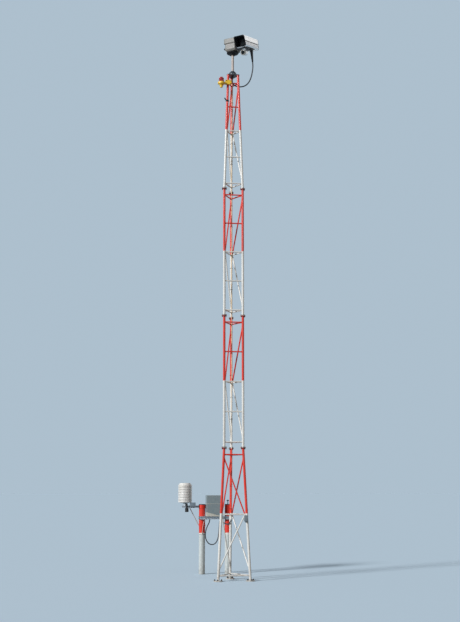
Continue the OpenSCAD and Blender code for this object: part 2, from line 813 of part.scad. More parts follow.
module screen_arm() {
  clamp_h = 60;
  past_screen = 60;
  color("#9aa3a6") from_axis() translate([0, stand_back, arm_z]) difference() {
    union() {
      translate([screen_x - past_screen, -arm_t / 2, -arm_h / 2])
        cube([screen_reach + past_screen - post_d / 2 - 4, arm_t, arm_h]);
      translate([left_post_x, 0, -clamp_h / 2]) cylinder(h = clamp_h, d = post_d + 16, $fn = 96);
    }
    translate([left_post_x, 0, -clamp_h]) cylinder(h = 2 * clamp_h, d = post_d + 2 * fit_gap, $fn = 96);
  }
}

module screen_box() {
  box = [105, 70, 80];
  color("#56707d") from_axis()
    translate([screen_box_x, stand_back - arm_t / 2 - rest_gap - box.y, post_h - 35]) cube(box);
}

module screen_base() {
  base_t = 12;
  stem_h = screen_z - arm_z - arm_h / 2 - base_t;
  color("#8d9698") from_axis() translate([screen_x, stand_back, arm_z + arm_h / 2]) {
    cylinder(h = stem_h, d = 70, $fn = 64);
    translate([0, 0, stem_h]) cylinder(h = base_t, d = screen_d - 100, $fn = 96);
  }
}

module louvred_screen() {
  r = screen_d / 2;
  core_r = r - plate_gap_depth;
  color("#f4f3ee") from_axis() translate([screen_x, stand_back, screen_z]) rotate_extrude($fn = 96)
    polygon([
      [0, 0],
      for (k = [0:screen_plates - 1]) each [
        [core_r, k * plate_pitch + 0.01], [r - 5, k * plate_pitch], [r, k * plate_pitch + 4],
        [r - 2, k * plate_pitch + plate_pitch * 0.7], [core_r, k * plate_pitch + plate_pitch * 0.8]
      ],
      [core_r, screen_plates * plate_pitch], [r - 30, screen_plates * plate_pitch + 24],
      [0, screen_plates * plate_pitch + 30]
    ]);
}

module screen_probe() {
  color("#26282a") from_axis() translate([screen_x + 30, stand_back - 60, post_h]) {
    translate([0, 0, -140]) cylinder(h = 80, d = 70, $fn = 48);
    translate([0, 0, -61]) cylinder(h = 90, d = 36, $fn = 48);
    translate([-12, 0, -50]) cube([24, 38, 30]);
  }
}

module arm_brace() {
  clamp_z = 950;
  clamp_h = 28;
  brace_top = arm_z - arm_h / 2 - 4;
  color("#d6d4cc") from_axis() {
    rod([screen_box_x, stand_back, brace_top], [left_post_x - post_d / 2 - 8, stand_back, clamp_z], 16, 12);
    translate([left_post_x, stand_back, clamp_z - clamp_h / 2]) difference() {
      cylinder(h = clamp_h, d = post_d + 10, $fn = 96);
      translate([0, 0, -1]) cylinder(h = clamp_h + 2, d = post_d + 2 * fit_gap, $fn = 96);
    }
  }
}

legs(0);  // legs_1
legs(1);  // legs_2
legs(2);  // legs_3
legs(3);  // legs_4
front_bars(0);  // front_bars_1
front_bars(1);  // front_bars_2
front_bars(2);  // front_bars_3
front_bars(3);  // front_bars_4
left_bars(0);  // left_bars_1
left_bars(1);  // left_bars_2
left_bars(2);  // left_bars_3
left_bars(3);  // left_bars_4
right_bars(0);  // right_bars_1
right_bars(1);  // right_bars_2
right_bars(2);  // right_bars_3
right_bars(3);  // right_bars_4
top_plate();
plate_glands();
pole_socket();
pole();
pan_base();
light_bracket();
light_base();
light_dome();
leg_peg();
leg_box();
mast_cable();
cable_clips();
pan_body();
pan_cover();
camera_bracket();
camera_housing();
camera_hood();
camera_window();
camera_rear();
under_lamp();
cable_boot();
camera_cable_upper();
camera_cable_lower();
left_post();
right_post();
post_caps();
stand_beam();
beam_saddles();
cabinet();
cabinet_hood();
cabinet_glands();
cabinet_cable();
screen_arm();
screen_box();
screen_base();
louvred_screen();
screen_probe();
arm_brace();
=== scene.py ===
import json
from math import acos, cos, pi, radians, sin, sqrt

import bmesh
import bpy
from mathutils import Matrix, Vector
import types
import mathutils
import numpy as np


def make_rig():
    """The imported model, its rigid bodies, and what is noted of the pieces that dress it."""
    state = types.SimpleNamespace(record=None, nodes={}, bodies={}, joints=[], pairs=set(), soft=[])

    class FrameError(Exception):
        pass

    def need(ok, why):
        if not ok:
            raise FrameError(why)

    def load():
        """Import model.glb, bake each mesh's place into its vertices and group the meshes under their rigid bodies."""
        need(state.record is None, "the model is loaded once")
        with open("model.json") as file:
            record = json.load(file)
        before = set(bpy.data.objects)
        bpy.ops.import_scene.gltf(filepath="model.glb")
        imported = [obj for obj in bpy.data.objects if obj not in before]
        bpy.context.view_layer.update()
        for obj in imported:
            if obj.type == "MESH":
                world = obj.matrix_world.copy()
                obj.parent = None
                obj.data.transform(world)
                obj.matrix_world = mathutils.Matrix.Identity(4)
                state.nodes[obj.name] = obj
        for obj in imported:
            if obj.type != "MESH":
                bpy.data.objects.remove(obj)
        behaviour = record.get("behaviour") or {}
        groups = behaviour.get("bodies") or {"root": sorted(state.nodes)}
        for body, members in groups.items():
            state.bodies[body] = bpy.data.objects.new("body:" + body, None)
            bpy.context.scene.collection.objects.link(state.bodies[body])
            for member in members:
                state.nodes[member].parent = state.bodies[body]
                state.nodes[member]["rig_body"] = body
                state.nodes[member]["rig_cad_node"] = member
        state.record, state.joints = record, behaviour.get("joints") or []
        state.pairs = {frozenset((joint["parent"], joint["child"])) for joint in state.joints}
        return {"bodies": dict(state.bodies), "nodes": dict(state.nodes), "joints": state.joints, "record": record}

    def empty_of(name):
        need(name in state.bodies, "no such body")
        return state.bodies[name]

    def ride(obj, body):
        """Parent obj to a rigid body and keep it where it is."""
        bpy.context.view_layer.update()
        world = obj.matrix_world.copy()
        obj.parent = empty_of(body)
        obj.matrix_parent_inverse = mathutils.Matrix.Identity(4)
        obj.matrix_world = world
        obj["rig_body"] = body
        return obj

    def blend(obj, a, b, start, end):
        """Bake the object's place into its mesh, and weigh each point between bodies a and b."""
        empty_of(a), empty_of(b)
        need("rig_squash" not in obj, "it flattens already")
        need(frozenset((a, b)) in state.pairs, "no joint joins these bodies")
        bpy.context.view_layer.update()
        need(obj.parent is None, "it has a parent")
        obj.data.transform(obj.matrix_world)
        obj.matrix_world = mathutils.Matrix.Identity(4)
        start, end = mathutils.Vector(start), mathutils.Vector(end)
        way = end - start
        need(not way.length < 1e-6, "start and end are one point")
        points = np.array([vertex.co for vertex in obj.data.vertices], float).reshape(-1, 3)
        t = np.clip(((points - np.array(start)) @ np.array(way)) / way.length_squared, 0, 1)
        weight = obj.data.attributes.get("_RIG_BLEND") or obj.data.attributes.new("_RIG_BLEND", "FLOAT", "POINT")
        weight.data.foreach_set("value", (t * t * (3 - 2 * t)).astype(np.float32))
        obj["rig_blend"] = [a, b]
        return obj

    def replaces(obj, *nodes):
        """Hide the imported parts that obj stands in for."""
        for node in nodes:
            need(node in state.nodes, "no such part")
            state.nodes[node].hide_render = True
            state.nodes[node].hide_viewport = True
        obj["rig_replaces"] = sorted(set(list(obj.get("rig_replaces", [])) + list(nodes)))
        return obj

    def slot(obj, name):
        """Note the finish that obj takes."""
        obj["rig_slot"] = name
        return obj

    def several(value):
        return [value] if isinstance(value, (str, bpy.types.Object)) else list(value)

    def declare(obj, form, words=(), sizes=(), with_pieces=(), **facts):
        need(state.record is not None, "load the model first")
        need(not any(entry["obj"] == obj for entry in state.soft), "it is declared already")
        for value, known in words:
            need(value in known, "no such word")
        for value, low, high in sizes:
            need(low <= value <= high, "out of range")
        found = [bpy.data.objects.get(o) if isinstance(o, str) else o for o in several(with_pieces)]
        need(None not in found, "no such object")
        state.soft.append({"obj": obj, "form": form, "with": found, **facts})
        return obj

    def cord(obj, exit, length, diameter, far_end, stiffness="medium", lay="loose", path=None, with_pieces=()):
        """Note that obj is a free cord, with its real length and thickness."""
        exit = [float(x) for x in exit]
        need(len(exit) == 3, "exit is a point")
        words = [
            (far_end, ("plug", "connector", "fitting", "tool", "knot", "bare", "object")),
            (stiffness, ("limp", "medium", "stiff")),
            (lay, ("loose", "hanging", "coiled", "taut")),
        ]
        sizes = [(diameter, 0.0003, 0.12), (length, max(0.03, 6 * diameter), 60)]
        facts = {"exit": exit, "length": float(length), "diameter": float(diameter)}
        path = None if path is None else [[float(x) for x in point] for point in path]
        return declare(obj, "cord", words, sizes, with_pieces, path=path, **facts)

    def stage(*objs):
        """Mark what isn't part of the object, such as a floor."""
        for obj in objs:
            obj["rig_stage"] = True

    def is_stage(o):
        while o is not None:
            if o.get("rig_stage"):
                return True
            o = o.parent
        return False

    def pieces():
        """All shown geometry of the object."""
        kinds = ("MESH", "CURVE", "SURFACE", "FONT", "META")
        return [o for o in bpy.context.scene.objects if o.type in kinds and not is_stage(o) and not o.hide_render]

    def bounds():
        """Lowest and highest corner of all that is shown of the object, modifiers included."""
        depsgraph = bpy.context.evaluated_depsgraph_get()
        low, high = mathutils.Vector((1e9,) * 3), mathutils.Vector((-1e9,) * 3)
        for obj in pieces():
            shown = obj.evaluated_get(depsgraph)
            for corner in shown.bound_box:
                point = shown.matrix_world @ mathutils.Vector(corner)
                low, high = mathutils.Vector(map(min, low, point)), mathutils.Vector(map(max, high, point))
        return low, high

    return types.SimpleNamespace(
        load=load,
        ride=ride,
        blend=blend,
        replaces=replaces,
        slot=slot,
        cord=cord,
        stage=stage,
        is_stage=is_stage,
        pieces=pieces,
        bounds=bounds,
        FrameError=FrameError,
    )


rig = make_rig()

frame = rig.load()
cad_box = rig.bounds()
nodes = frame["nodes"]

# The view: the eye is 20 m off in front and a little to the left, at standing height, and looks
# up along the mast. Every place is given from the mast's own upright axis, which the head turns
# about, because the frame's origin is under the back leg.
pan = next(joint for joint in frame["joints"] if joint["name"] == "pan")
AXIS = Vector((pan["pos_m"][0], pan["pos_m"][1], 0))
EYE_PLACE = (-2.992, -19.718, 1.74)
EYE_TURN = radians(-8.475)
EYE_RISE = radians(9.41)
LENS_MM = 60.77
SENSOR_MM = 36


def at(x, y, z):
    return AXIS + Vector((x, y, z))


def placed(name, data):
    """A new object in the scene, at the origin."""
    made = bpy.data.objects.new(name, data)
    bpy.context.scene.collection.objects.link(made)
    return made


eye = placed("eye", bpy.data.cameras.new("eye"))
eye.data.lens = LENS_MM
eye.data.sensor_width = SENSOR_MM
eye.location = at(*EYE_PLACE)
eye.rotation_euler = (pi / 2 + EYE_RISE, 0, EYE_TURN)
bpy.context.scene.camera = eye
bpy.context.scene.view_settings.view_transform = "Standard"


# The studio: a low sun from the left as a large soft lamp, an even sky, and a pale floor that
# runs on into the pale backdrop. Bright metal and glass mirror a whiter patch of sky, low over
# the ground to the right.
SUN_FROM = Vector((-0.80, -0.50, 0.36))
SUN_STRENGTH = 2.9
SUN_SOFTNESS = radians(9)
SKY_TINT = (0.93, 0.96, 1)
SKY_STRENGTH = 0.32
BACKDROP = (0.42, 0.525, 0.615)
BRIGHT_PATCH = (1, 1, 1)
BRIGHT_WAY = (0.80, 0.39, 0.44)
FLOOR_COLOUR = (0.67, 0.825, 0.948)
FLOOR_BOUNCE = (0.22, 0.20, 0.16)
FLOOR_SIZE = 400
FLOOR_Z = -0.002
sun = placed("sun", bpy.data.lights.new("sun", "SUN"))
sun.data.energy = SUN_STRENGTH
sun.data.angle = SUN_SOFTNESS
sun.rotation_euler = SUN_FROM.to_track_quat("Z", "Y").to_euler()


def join(tree, value, socket):
    """Gives an input a node's first output, another output, or a plain value or colour."""
    if isinstance(value, bpy.types.Node):
        value = value.outputs[0]
    if isinstance(value, bpy.types.NodeSocket):
        tree.links.new(value, socket)
    else:
        socket.default_value = (*value, 1) if socket.type == "RGBA" else value


def put(tree, kind, inputs=(), **settings):
    """Adds a node to a tree. Its inputs are named or numbered."""
    made = tree.nodes.new(kind)
    for name, value in settings.items():
        setattr(made, name, value)
    for name, value in dict(inputs).items():
        join(tree, value, made.inputs[name])
    return made


def calc(tree, way, first, second=0.0):
    return put(tree, "ShaderNodeMath", {0: first, 1: second}, operation=way)


def dot(tree, first, second):
    return put(tree, "ShaderNodeVectorMath", {0: first, 1: second},
               operation="DOT_PRODUCT").outputs["Value"]


def between(tree, value, low, high, to_low=0, to_high=1):
    """A value held between low and high, and moved in step to a range of its own."""
    return put(tree, "ShaderNodeMapRange", {0: value, 1: low, 2: high, 3: to_low, 4: to_high})


def blended(tree, share, first, second, way="MIX"):
    """Two colours mixed by a share. Either one is a colour or another node's output."""
    return put(tree, "ShaderNodeMix", {0: share, 6: first, 7: second}, data_type="RGBA",
               blend_type=way).outputs[2]


def empty_tree(holder):
    holder.use_nodes = True
    holder.node_tree.nodes.clear()
    return holder.node_tree


def seen_directly(tree):
    """1 for a ray from the eye, a mirror or through glass, and 0 for one that lights a surface."""
    path = put(tree, "ShaderNodeLightPath").outputs
    either = calc(tree, "MAXIMUM", path["Is Camera Ray"], path["Is Glossy Ray"])
    return calc(tree, "MAXIMUM", either, path["Is Transmission Ray"])


def pale_sky():
    world = bpy.data.worlds.new("pale sky")
    tree = empty_tree(world)
    towards = dot(tree, put(tree, "ShaderNodeTexCoord").outputs["Generated"], BRIGHT_WAY)
    mirrored = calc(tree, "MULTIPLY", between(tree, towards, 0.3, 0.9),
                    put(tree, "ShaderNodeLightPath").outputs["Is Glossy Ray"])
    shown = put(tree, "ShaderNodeBackground",
                {"Color": blended(tree, mirrored, BACKDROP, BRIGHT_PATCH), "Strength": 1})
    lighting = put(tree, "ShaderNodeBackground", {"Color": SKY_TINT, "Strength": SKY_STRENGTH})
    mixed = put(tree, "ShaderNodeMixShader", {0: seen_directly(tree), 1: lighting, 2: shown})
    put(tree, "ShaderNodeOutputWorld", {"Surface": mixed})
    return world


def pale_floor():
    """Matt and pale to the eye. It throws back as little light as bare ground does."""
    finish = bpy.data.materials.new("pale floor")
    tree = empty_tree(finish)
    colour = blended(tree, seen_directly(tree), FLOOR_BOUNCE, FLOOR_COLOUR)
    matt = put(tree, "ShaderNodeBsdfDiffuse", {"Color": colour})
    put(tree, "ShaderNodeOutputMaterial", {"Surface": matt})
    return finish


bpy.context.scene.world = pale_sky()
bpy.ops.mesh.primitive_plane_add(size=FLOOR_SIZE, location=(0, 0, FLOOR_Z))
floor = bpy.context.object
floor.name = "floor"
floor.data.materials.append(pale_floor())
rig.stage(floor)


# The camera's cable: a black rubber lead, 24 mm thick. It leaves the tapered boot under the
# camera, hangs in a wide loop round the pole and goes up into the gland under the top plate.
# It has two stretches, which meet on the loop's outer side, because head and camera both turn.
CAMERA_CABLE = 0.024
CAMERA_ROUTE = [
    (0.405, 0.005, 10.146), (0.411, 0.014, 10.095), (0.413, 0.020, 10.033), (0.408, 0.021, 9.966),
    (0.397, 0.020, 9.901), (0.384, 0.016, 9.837), (0.362, 0.010, 9.768), (0.328, 0.005, 9.698),
    (0.280, 0, 9.639), (0.222, -0.006, 9.601), (0.165, -0.011, 9.586), (0.115, -0.013, 9.585),
    (0.075, -0.013, 9.591), (0.042, -0.011, 9.605), (0.015, -0.007, 9.628), (-0.004, -0.003, 9.659),
    (-0.012, 0, 9.695), (-0.008, 0, 9.735), (0, 0, 9.765), (0, 0, 9.775),
]
CAMERA_SPLIT = 9
ROUTE_STEPS = 5
CABLE_SIDES = 20


def smooth_route(points, steps=ROUTE_STEPS):
    """Points on one smooth curve through the route's points."""
    ends = [2 * points[0] - points[1], *points, 2 * points[-1] - points[-2]]
    curve = []
    for a, b, c, d in zip(ends, ends[1:], ends[2:], ends[3:]):
        for k in range(steps):
            t = k / steps
            curve.append(0.5 * (2 * b + (c - a) * t + (2 * a - 5 * b + 4 * c - d) * t ** 2
                                + (3 * b - a - 3 * c + d) * t ** 3))
    return [*curve, points[-1]]


class Finish:
    """A material in the making: its tree, its shader and the object's own coordinates."""

    def __init__(self, name):
        self.material = bpy.data.materials.new(name)
        self.tree = empty_tree(self.material)
        self.shader = put(self.tree, "ShaderNodeBsdfPrincipled")
        put(self.tree, "ShaderNodeOutputMaterial", {"Surface": self.shader})
        self.where = put(self.tree, "ShaderNodeTexCoord").outputs["Object"]

    def cloud(self, scale, detail, drawn=1, where=None):
        """Soft noise from 0 to 1, drawn out along the height where drawn is small."""
        mapped = put(self.tree, "ShaderNodeMapping",
                     {"Vector": where or self.where, "Scale": (1, 1, drawn)})
        return put(self.tree, "ShaderNodeTexNoise",
                   {"Vector": mapped, "Scale": scale, "Detail": detail})

    def spread(self, scale, detail, least, most):
        """Noise as a value that drifts from least to most."""
        return between(self.tree, self.cloud(scale, detail), 0.3, 0.7, least, most)

    def patches(self, scale, detail, low, high, most=1, drawn=1):
        """Patches where the noise is above high: 0 outside them and most inside."""
        return between(self.tree, self.cloud(scale, detail, drawn), low, high, 0, most)

    def mix(self, share, first, second, way="MIX"):
        return blended(self.tree, share, first, second, way)

    def calc(self, way, first, second=0.0):
        return calc(self.tree, way, first, second)

    def height(self, axis=2):
        """The place along an axis of the object's own, or its height."""
        return put(self.tree, "ShaderNodeSeparateXYZ", {0: self.where}).outputs[axis]

    def done(self, colour, rough, relief=None, **sockets):
        """The finished material. Relief is its heights, strength and depth. A _ is a space."""
        if relief:
            heights, strength, depth = relief
            sockets["Normal"] = put(self.tree, "ShaderNodeBump", {
                "Height": heights, "Strength": strength, "Distance": depth})
        for label, value in {"Base_Color": colour, "Roughness": rough, **sockets}.items():
            join(self.tree, value, self.shader.inputs[label.replace("_", " ")])
        return self.material


def cable_rubber():
    look = Finish("cable rubber")
    shade = look.mix(look.patches(9, 5, 0.42, 0.75), (0.016, 0.017, 0.020), (0.060, 0.058, 0.055))
    return look.done(shade, look.spread(60, 3, 0.42, 0.62), (look.cloud(420, 2), 0.25, 0.0006))


def piece(name, shape, finish):
    """A smooth mesh object at the origin from a bmesh, with its one material."""
    mesh = bpy.data.meshes.new(name)
    shape.to_mesh(mesh)
    shape.free()
    mesh.shade_smooth()
    mesh.materials.append(finish)
    return placed(name, mesh)


def join_rings(shape, rings):
    """Faces from each ring of points to the next. A ring on the axis is a single point."""
    for low, high in zip(rings, rings[1:]):
        sides = max(len(low), len(high))
        for k in range(sides if sides > 1 else 0):
            around = [low[k % len(low)], low[(k + 1) % len(low)],
                      high[(k + 1) % len(high)], high[k % len(high)]]
            shape.faces.new(list(dict.fromkeys(around)))


rubber = cable_rubber()


def cable(name, centres, diameter):
    """A closed rubber tube, with a ring round each point of its middle line."""
    shape = bmesh.new()
    turns = [2 * pi * k / CABLE_SIDES for k in range(CABLE_SIDES)]
    side = Vector((0, 1, 0))
    rings = []
    for i, centre in enumerate(centres):
        ahead = (centres[min(i + 1, len(centres) - 1)] - centres[max(i - 1, 0)]).normalized()
        side = (side - ahead * side.dot(ahead)).normalized()
        up = ahead.cross(side)
        rings.append([shape.verts.new(centre + diameter / 2 * (cos(turn) * side + sin(turn) * up))
                      for turn in turns])
    join_rings(shape, rings)
    shape.faces.new(rings[0][::-1])
    shape.faces.new(rings[-1])
    return piece(name, shape, rubber)


upper_line = smooth_route([at(*p) for p in CAMERA_ROUTE[:CAMERA_SPLIT + 1]])
lower_line = smooth_route([at(*p) for p in CAMERA_ROUTE[CAMERA_SPLIT:]])
upper = cable("camera_lead_upper", upper_line, CAMERA_CABLE)
lower = cable("camera_lead_lower", lower_line, CAMERA_CABLE)
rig.replaces(upper, "camera_cable_upper")
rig.replaces(lower, "camera_cable_lower")
for stretch in (upper, lower):
    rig.slot(stretch, "cable_rubber")
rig.blend(upper, "pan_head", "camera", start=upper_line[-1], end=upper_line[0])
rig.blend(lower, "mast", "pan_head", start=lower_line[-1], end=lower_line[0])
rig.cord(upper, exit=upper_line[0], length=0.61, diameter=CAMERA_CABLE, far_end="object",
        stiffness="stiff", lay="hanging", path=upper_line)
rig.cord(lower, exit=lower_line[-1], length=0.38, diameter=CAMERA_CABLE, far_end="object",
        stiffness="stiff", lay="hanging", path=lower_line[::-1])


# The cabinet's cable: the same rubber lead, 20 mm thick. It comes out of the gland under the
# crossbeam, hangs in a loop beside the left post and swings over to the back leg of the mast.
CABINET_CABLE = 0.020
CABINET_ROUTE = [
    (-0.240, 1.500, 1.085), (-0.240, 1.500, 1.055), (-0.251, 1.496, 1.005), (-0.280, 1.480, 0.950),
    (-0.308, 1.462, 0.892), (-0.327, 1.446, 0.832), (-0.334, 1.436, 0.770), (-0.330, 1.430, 0.710),
    (-0.312, 1.428, 0.653), (-0.282, 1.428, 0.609), (-0.245, 1.430, 0.583), (-0.205, 1.434, 0.573),
    (-0.163, 1.440, 0.580), (-0.125, 1.448, 0.606), (-0.095, 1.458, 0.650), (-0.074, 1.468, 0.712),
    (-0.062, 1.476, 0.785), (-0.055, 1.480, 0.855), (-0.051, 1.478, 0.920), (-0.049, 1.464, 0.975),
    (-0.049, 1.434, 1.013), (-0.049, 1.387, 1.036), (-0.050, 1.310, 1.042), (-0.052, 1.150, 1.034),
    (-0.054, 0.900, 1.022), (-0.054, 0.650, 1.013), (-0.052, 0.450, 1.006), (-0.049, 0.360, 1.003),
    (-0.046, 0.305, 1.006), (-0.040, 0.268, 1.018), (-0.028, 0.243, 1.037), (-0.013, 0.229, 1.059),
    (-0.003, 0.224, 1.075), (0, 0.223, 1.085), (0, 0.222, 1.100),
]
cabinet_line = smooth_route([at(*p) for p in CABINET_ROUTE])
cabinet_lead = cable("cabinet_lead", cabinet_line, CABINET_CABLE)
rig.replaces(cabinet_lead, "cabinet_cable")
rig.slot(cabinet_lead, "cable_rubber")
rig.ride(cabinet_lead, "mast")
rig.cord(cabinet_lead, exit=cabinet_line[0], length=2.41, diameter=CABINET_CABLE, far_end="object",
        stiffness="medium", lay="hanging", path=cabinet_line)


# The mast's legs: three round steel tubes, tapered in the first and last of four flanged sections,
# on bolted foot plates. They are painted by brush in red and white bands, in place, so the edges
# waver a little, and the paint is streaked, bleached and chipped.
LEVELS = (0, 2.430, 4.940, 7.450, 9.800)
FACE_WIDTHS = (0.600, 0.360, 0.360, 0.360, 0.197)
LEG_D = 0.048
BACK, LEFT, RIGHT = 0, 1, 2
LEG_TURNS = (90, 210, 330)
BAND_EDGES = (1.2195, 2.430, 3.6935, 4.940, 6.2035, 7.450, 8.652)
EDGE_WAVER = 0.006
RED, WHITE = (0.78, 0.026, 0.006), (0.80, 0.80, 0.77)
BLEACHED, PRIMER = (0.45, 0.40, 0.38), (0.10, 0.055, 0.035)
RAIN_DIRT, SOIL, SPLICE_GRIME_AND_SHADE = (0.16, 0.12, 0.10), (0.17, 0.12, 0.075), (0.045, 0.028, 0.022)


def radius_at(z):
    """The distance of a leg's middle line from the axis."""
    k = max(i for i in range(4) if z >= LEVELS[i] or i == 0)
    share = (z - LEVELS[k]) / (LEVELS[k + 1] - LEVELS[k])
    return (FACE_WIDTHS[k] + (FACE_WIDTHS[k + 1] - FACE_WIDTHS[k]) * share) / sqrt(3)


def leg_at(leg, z):
    turn = radians(LEG_TURNS[leg])
    return at(radius_at(z) * cos(turn), radius_at(z) * sin(turn), z)


def banded_by_height(look, edges, colours):
    """The colours from the ground up, each up to the next edge, with hand-painted edges."""
    wavering = look.calc("ADD", look.height(), look.spread(16, 2, -EDGE_WAVER, EDGE_WAVER))
    shade = colours[0]
    for edge, upper_colour in zip(edges, colours[1:]):
        shade = look.mix(look.calc("GREATER_THAN", wavering, edge), shade, upper_colour)
    return shade


def mast_paint(name, edges, colours, soiled_up_to=0.30):
    """Old gloss paint in bands, bleached, streaked by rain, chipped and soiled at the foot.

    The splices of the mast are darkened, partly by grime and partly as painted shade under the flanges."""
    look = Finish(name)
    height = look.height()
    shade = banded_by_height(look, edges, colours)
    shade = look.mix(look.patches(2.2, 3, 0.42, 0.66, 0.08), shade, BLEACHED, "SCREEN")
    shade = look.mix(1.0, shade, look.spread(34, 5, 0.86, 1.06), "MULTIPLY")
    shade = look.mix(look.patches(30, 4, 0.52, 0.72, 0.24, drawn=0.05), shade, RAIN_DIRT)
    chipped = look.patches(95, 3, 0.735, 0.75)
    shade = look.mix(chipped, shade, PRIMER)
    low_down = between(look.tree, height, 0.01, soiled_up_to, 0.55, 0)
    shade = look.mix(look.calc("MULTIPLY", low_down, look.patches(22, 4, 0.35, 0.62)), shade, SOIL)
    # Painted shade with grime: the paint is darkened round each splice, where the flanges cast shade.
    for level in LEVELS[1:4]:
        off = look.calc("ABSOLUTE", look.calc("SUBTRACT", height, level))
        near = between(look.tree, off, 0.010, 0.022, 0.8, 0)
        shade = look.mix(look.calc("MULTIPLY", near, look.patches(30, 4, 0.2, 0.6)), shade, SPLICE_GRIME_AND_SHADE)
    brushed = look.calc("ADD", look.cloud(160, 3, drawn=0.08), look.calc("MULTIPLY", chipped, -1.5))
    return look.done(shade, look.spread(40, 4, 0.26, 0.46), (brushed, 0.30, 0.0008),
                     Specular_IOR_Level=0.38, Coat_Weight=0.20, Coat_Roughness=0.16)


def finish_nodes(finish, *names):
    """Gives CAD nodes their material."""
    for name in names:
        for slot in nodes[name].material_slots:
            slot.material = finish


banded = mast_paint("banded paint", BAND_EDGES, (WHITE, RED) * 4)
finish_nodes(banded, "legs_1", "legs_2", "legs_3", "legs_4")


# The bars between the legs: 26 mm tube, coped to the legs and welded all round. Each section has
# level bars, and each side but the upper front ones has two bars bent at a leg. The weld beads
# follow the line where a bar meets its leg.
BAR_D = 0.026
BEND_GAP = 0.0003
FOOT_RING, LOW_INSET, HIGH_INSET, HEAD_INSET, TOP_MID_RISE = 0.100, 0.108, 0.127, 0.170, 0.040
DIAGONAL_GAP, FOOT_DIAGONAL_GAP = 0.045, 0.090
WELD_R, WELD_RIPPLE, WELD_POINTS = 0.0042, 0.0035, 22
LEG_STRETCH = 0.05
BEAD_SIDES, RIPPLE_SCALE = 8, 300.0
finish_nodes(banded, *[f"{side}_bars_{k}" for side in ("front", "left", "right")
                       for k in (1, 2, 3, 4)])


def rings_of(k):
    """The heights of a section's low, middle and high level bars."""
    low = LEVELS[k] + (FOOT_RING if k == 0 else LOW_INSET)
    high = LEVELS[k + 1] - (HEAD_INSET if k == 3 else HIGH_INSET)
    return low, (low + high) / 2 + (TOP_MID_RISE if k == 3 else 0), high


def bar_ends():
    """Each welded end: its point on a leg's middle line, the leg, and the bar's direction."""
    for k in range(4):
        low, mid, high = rings_of(k)
        for a, b, bent, extra in ((LEFT, RIGHT, k == 0, k > 0), (BACK, LEFT, True, False),
                                  (RIGHT, BACK, True, False)):
            levels = [low, mid, high] + ([(low + mid) / 2, (mid + high) / 2] if extra else [])
            for z in levels:
                start, end = leg_at(a, z), leg_at(b, z)
                yield start, a, (end - start).normalized()
                yield end, b, (start - end).normalized()
            if bent:
                towards = (leg_at(a, mid) - leg_at(b, mid)).normalized()
                turn = leg_at(b, mid) + ((LEG_D + BAR_D) / 2 + BEND_GAP) * towards
                for z in (high - DIAGONAL_GAP,
                          low + (FOOT_DIAGONAL_GAP if k == 0 else DIAGONAL_GAP)):
                    start = leg_at(a, z)
                    yield start, a, (turn - start).normalized()


def weld_line(start, leg, ahead):
    """Points round a bar's end, where its surface meets the leg's."""
    z = start.z - AXIS.z
    low, high = max(z - LEG_STRETCH, 0), min(z + LEG_STRETCH, LEVELS[-1])
    line = (leg_at(leg, high) - leg_at(leg, low)).normalized()
    side = ahead.cross(line).normalized()
    up = side.cross(ahead)
    out = ahead - ahead.dot(line) * line
    points = []
    for k in range(WELD_POINTS):
        turn = 2 * pi * k / WELD_POINTS
        offset = BAR_D / 2 * (cos(turn) * side + sin(turn) * up)
        flat = offset - offset.dot(line) * line
        a, b, c = out.dot(out), out.dot(flat), flat.dot(flat) - (LEG_D / 2) ** 2
        points.append(start + offset + ahead * ((sqrt(b * b - a * c) - b) / a))
    return points


def tree_of(name, sockets):
    """An empty Geometry Nodes tree with its input mesh, its named inputs and its result."""
    tree = bpy.data.node_groups.new(name, "GeometryNodeTree")
    tree.interface.new_socket("Geometry", in_out="INPUT", socket_type="NodeSocketGeometry")
    for label, kind in sockets.items():
        tree.interface.new_socket(label, in_out="INPUT", socket_type=f"NodeSocket{kind}")
    tree.interface.new_socket("Geometry", in_out="OUTPUT", socket_type="NodeSocketGeometry")
    return tree, put(tree, "NodeGroupInput").outputs


def ended(tree, shape, finish):
    real = put(tree, "GeometryNodeRealizeInstances", {0: shape})
    done = put(tree, "GeometryNodeSetMaterial", {"Geometry": real, "Material": finish})
    put(tree, "NodeGroupOutput", {0: done})
    return tree


def grown(name, base, tree, **settings):
    """Runs a tree once on a base mesh, and keeps the result as a plain mesh at the origin."""
    holder = placed(name + " base", base)
    runs = holder.modifiers.new("tree", "NODES")
    runs.node_group = tree
    inputs = {item.name: item.identifier for item in tree.interface.items_tree
              if item.in_out == "INPUT"}
    for label, value in settings.items():
        runs[inputs[label.replace("_", " ")]] = value
    seen = holder.evaluated_get(bpy.context.evaluated_depsgraph_get())
    result = bpy.data.meshes.new_from_object(seen)
    holder.modifiers.remove(runs)
    bpy.data.objects.remove(holder)
    result.name = name
    return placed(name, result)


def bead_tree():
    """A bead or a bent rod along every line of the base mesh."""
    tree, given = tree_of("beads", {"Radius": "Float", "Ripple": "Float", "Finish": "Material"})
    lines = put(tree, "GeometryNodeMeshToCurve", {0: given["Geometry"]})
    outline = put(tree, "GeometryNodeCurvePrimitiveCircle",
                  {"Resolution": BEAD_SIDES, "Radius": given["Radius"]})
    swept = put(tree, "GeometryNodeCurveToMesh",
                {"Curve": lines, "Profile Curve": outline, "Fill Caps": True})
    waves = put(tree, "ShaderNodeTexNoise", {"Scale": RIPPLE_SCALE, "Detail": 1.0})
    rise = calc(tree, "MULTIPLY", calc(tree, "SUBTRACT", waves, 0.5), given["Ripple"])
    normal = put(tree, "GeometryNodeInputNormal")
    shift = put(tree, "ShaderNodeVectorMath", {0: normal, "Scale": rise}, operation="SCALE")
    moved = put(tree, "GeometryNodeSetPosition", {"Geometry": swept, "Offset": shift})
    return ended(tree, moved, given["Finish"])


def fitted(made, slot, body):
    """Names a piece's material slot in the record and the body that it rides on."""
    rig.slot(made, slot)
    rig.ride(made, body)


beading = bead_tree()


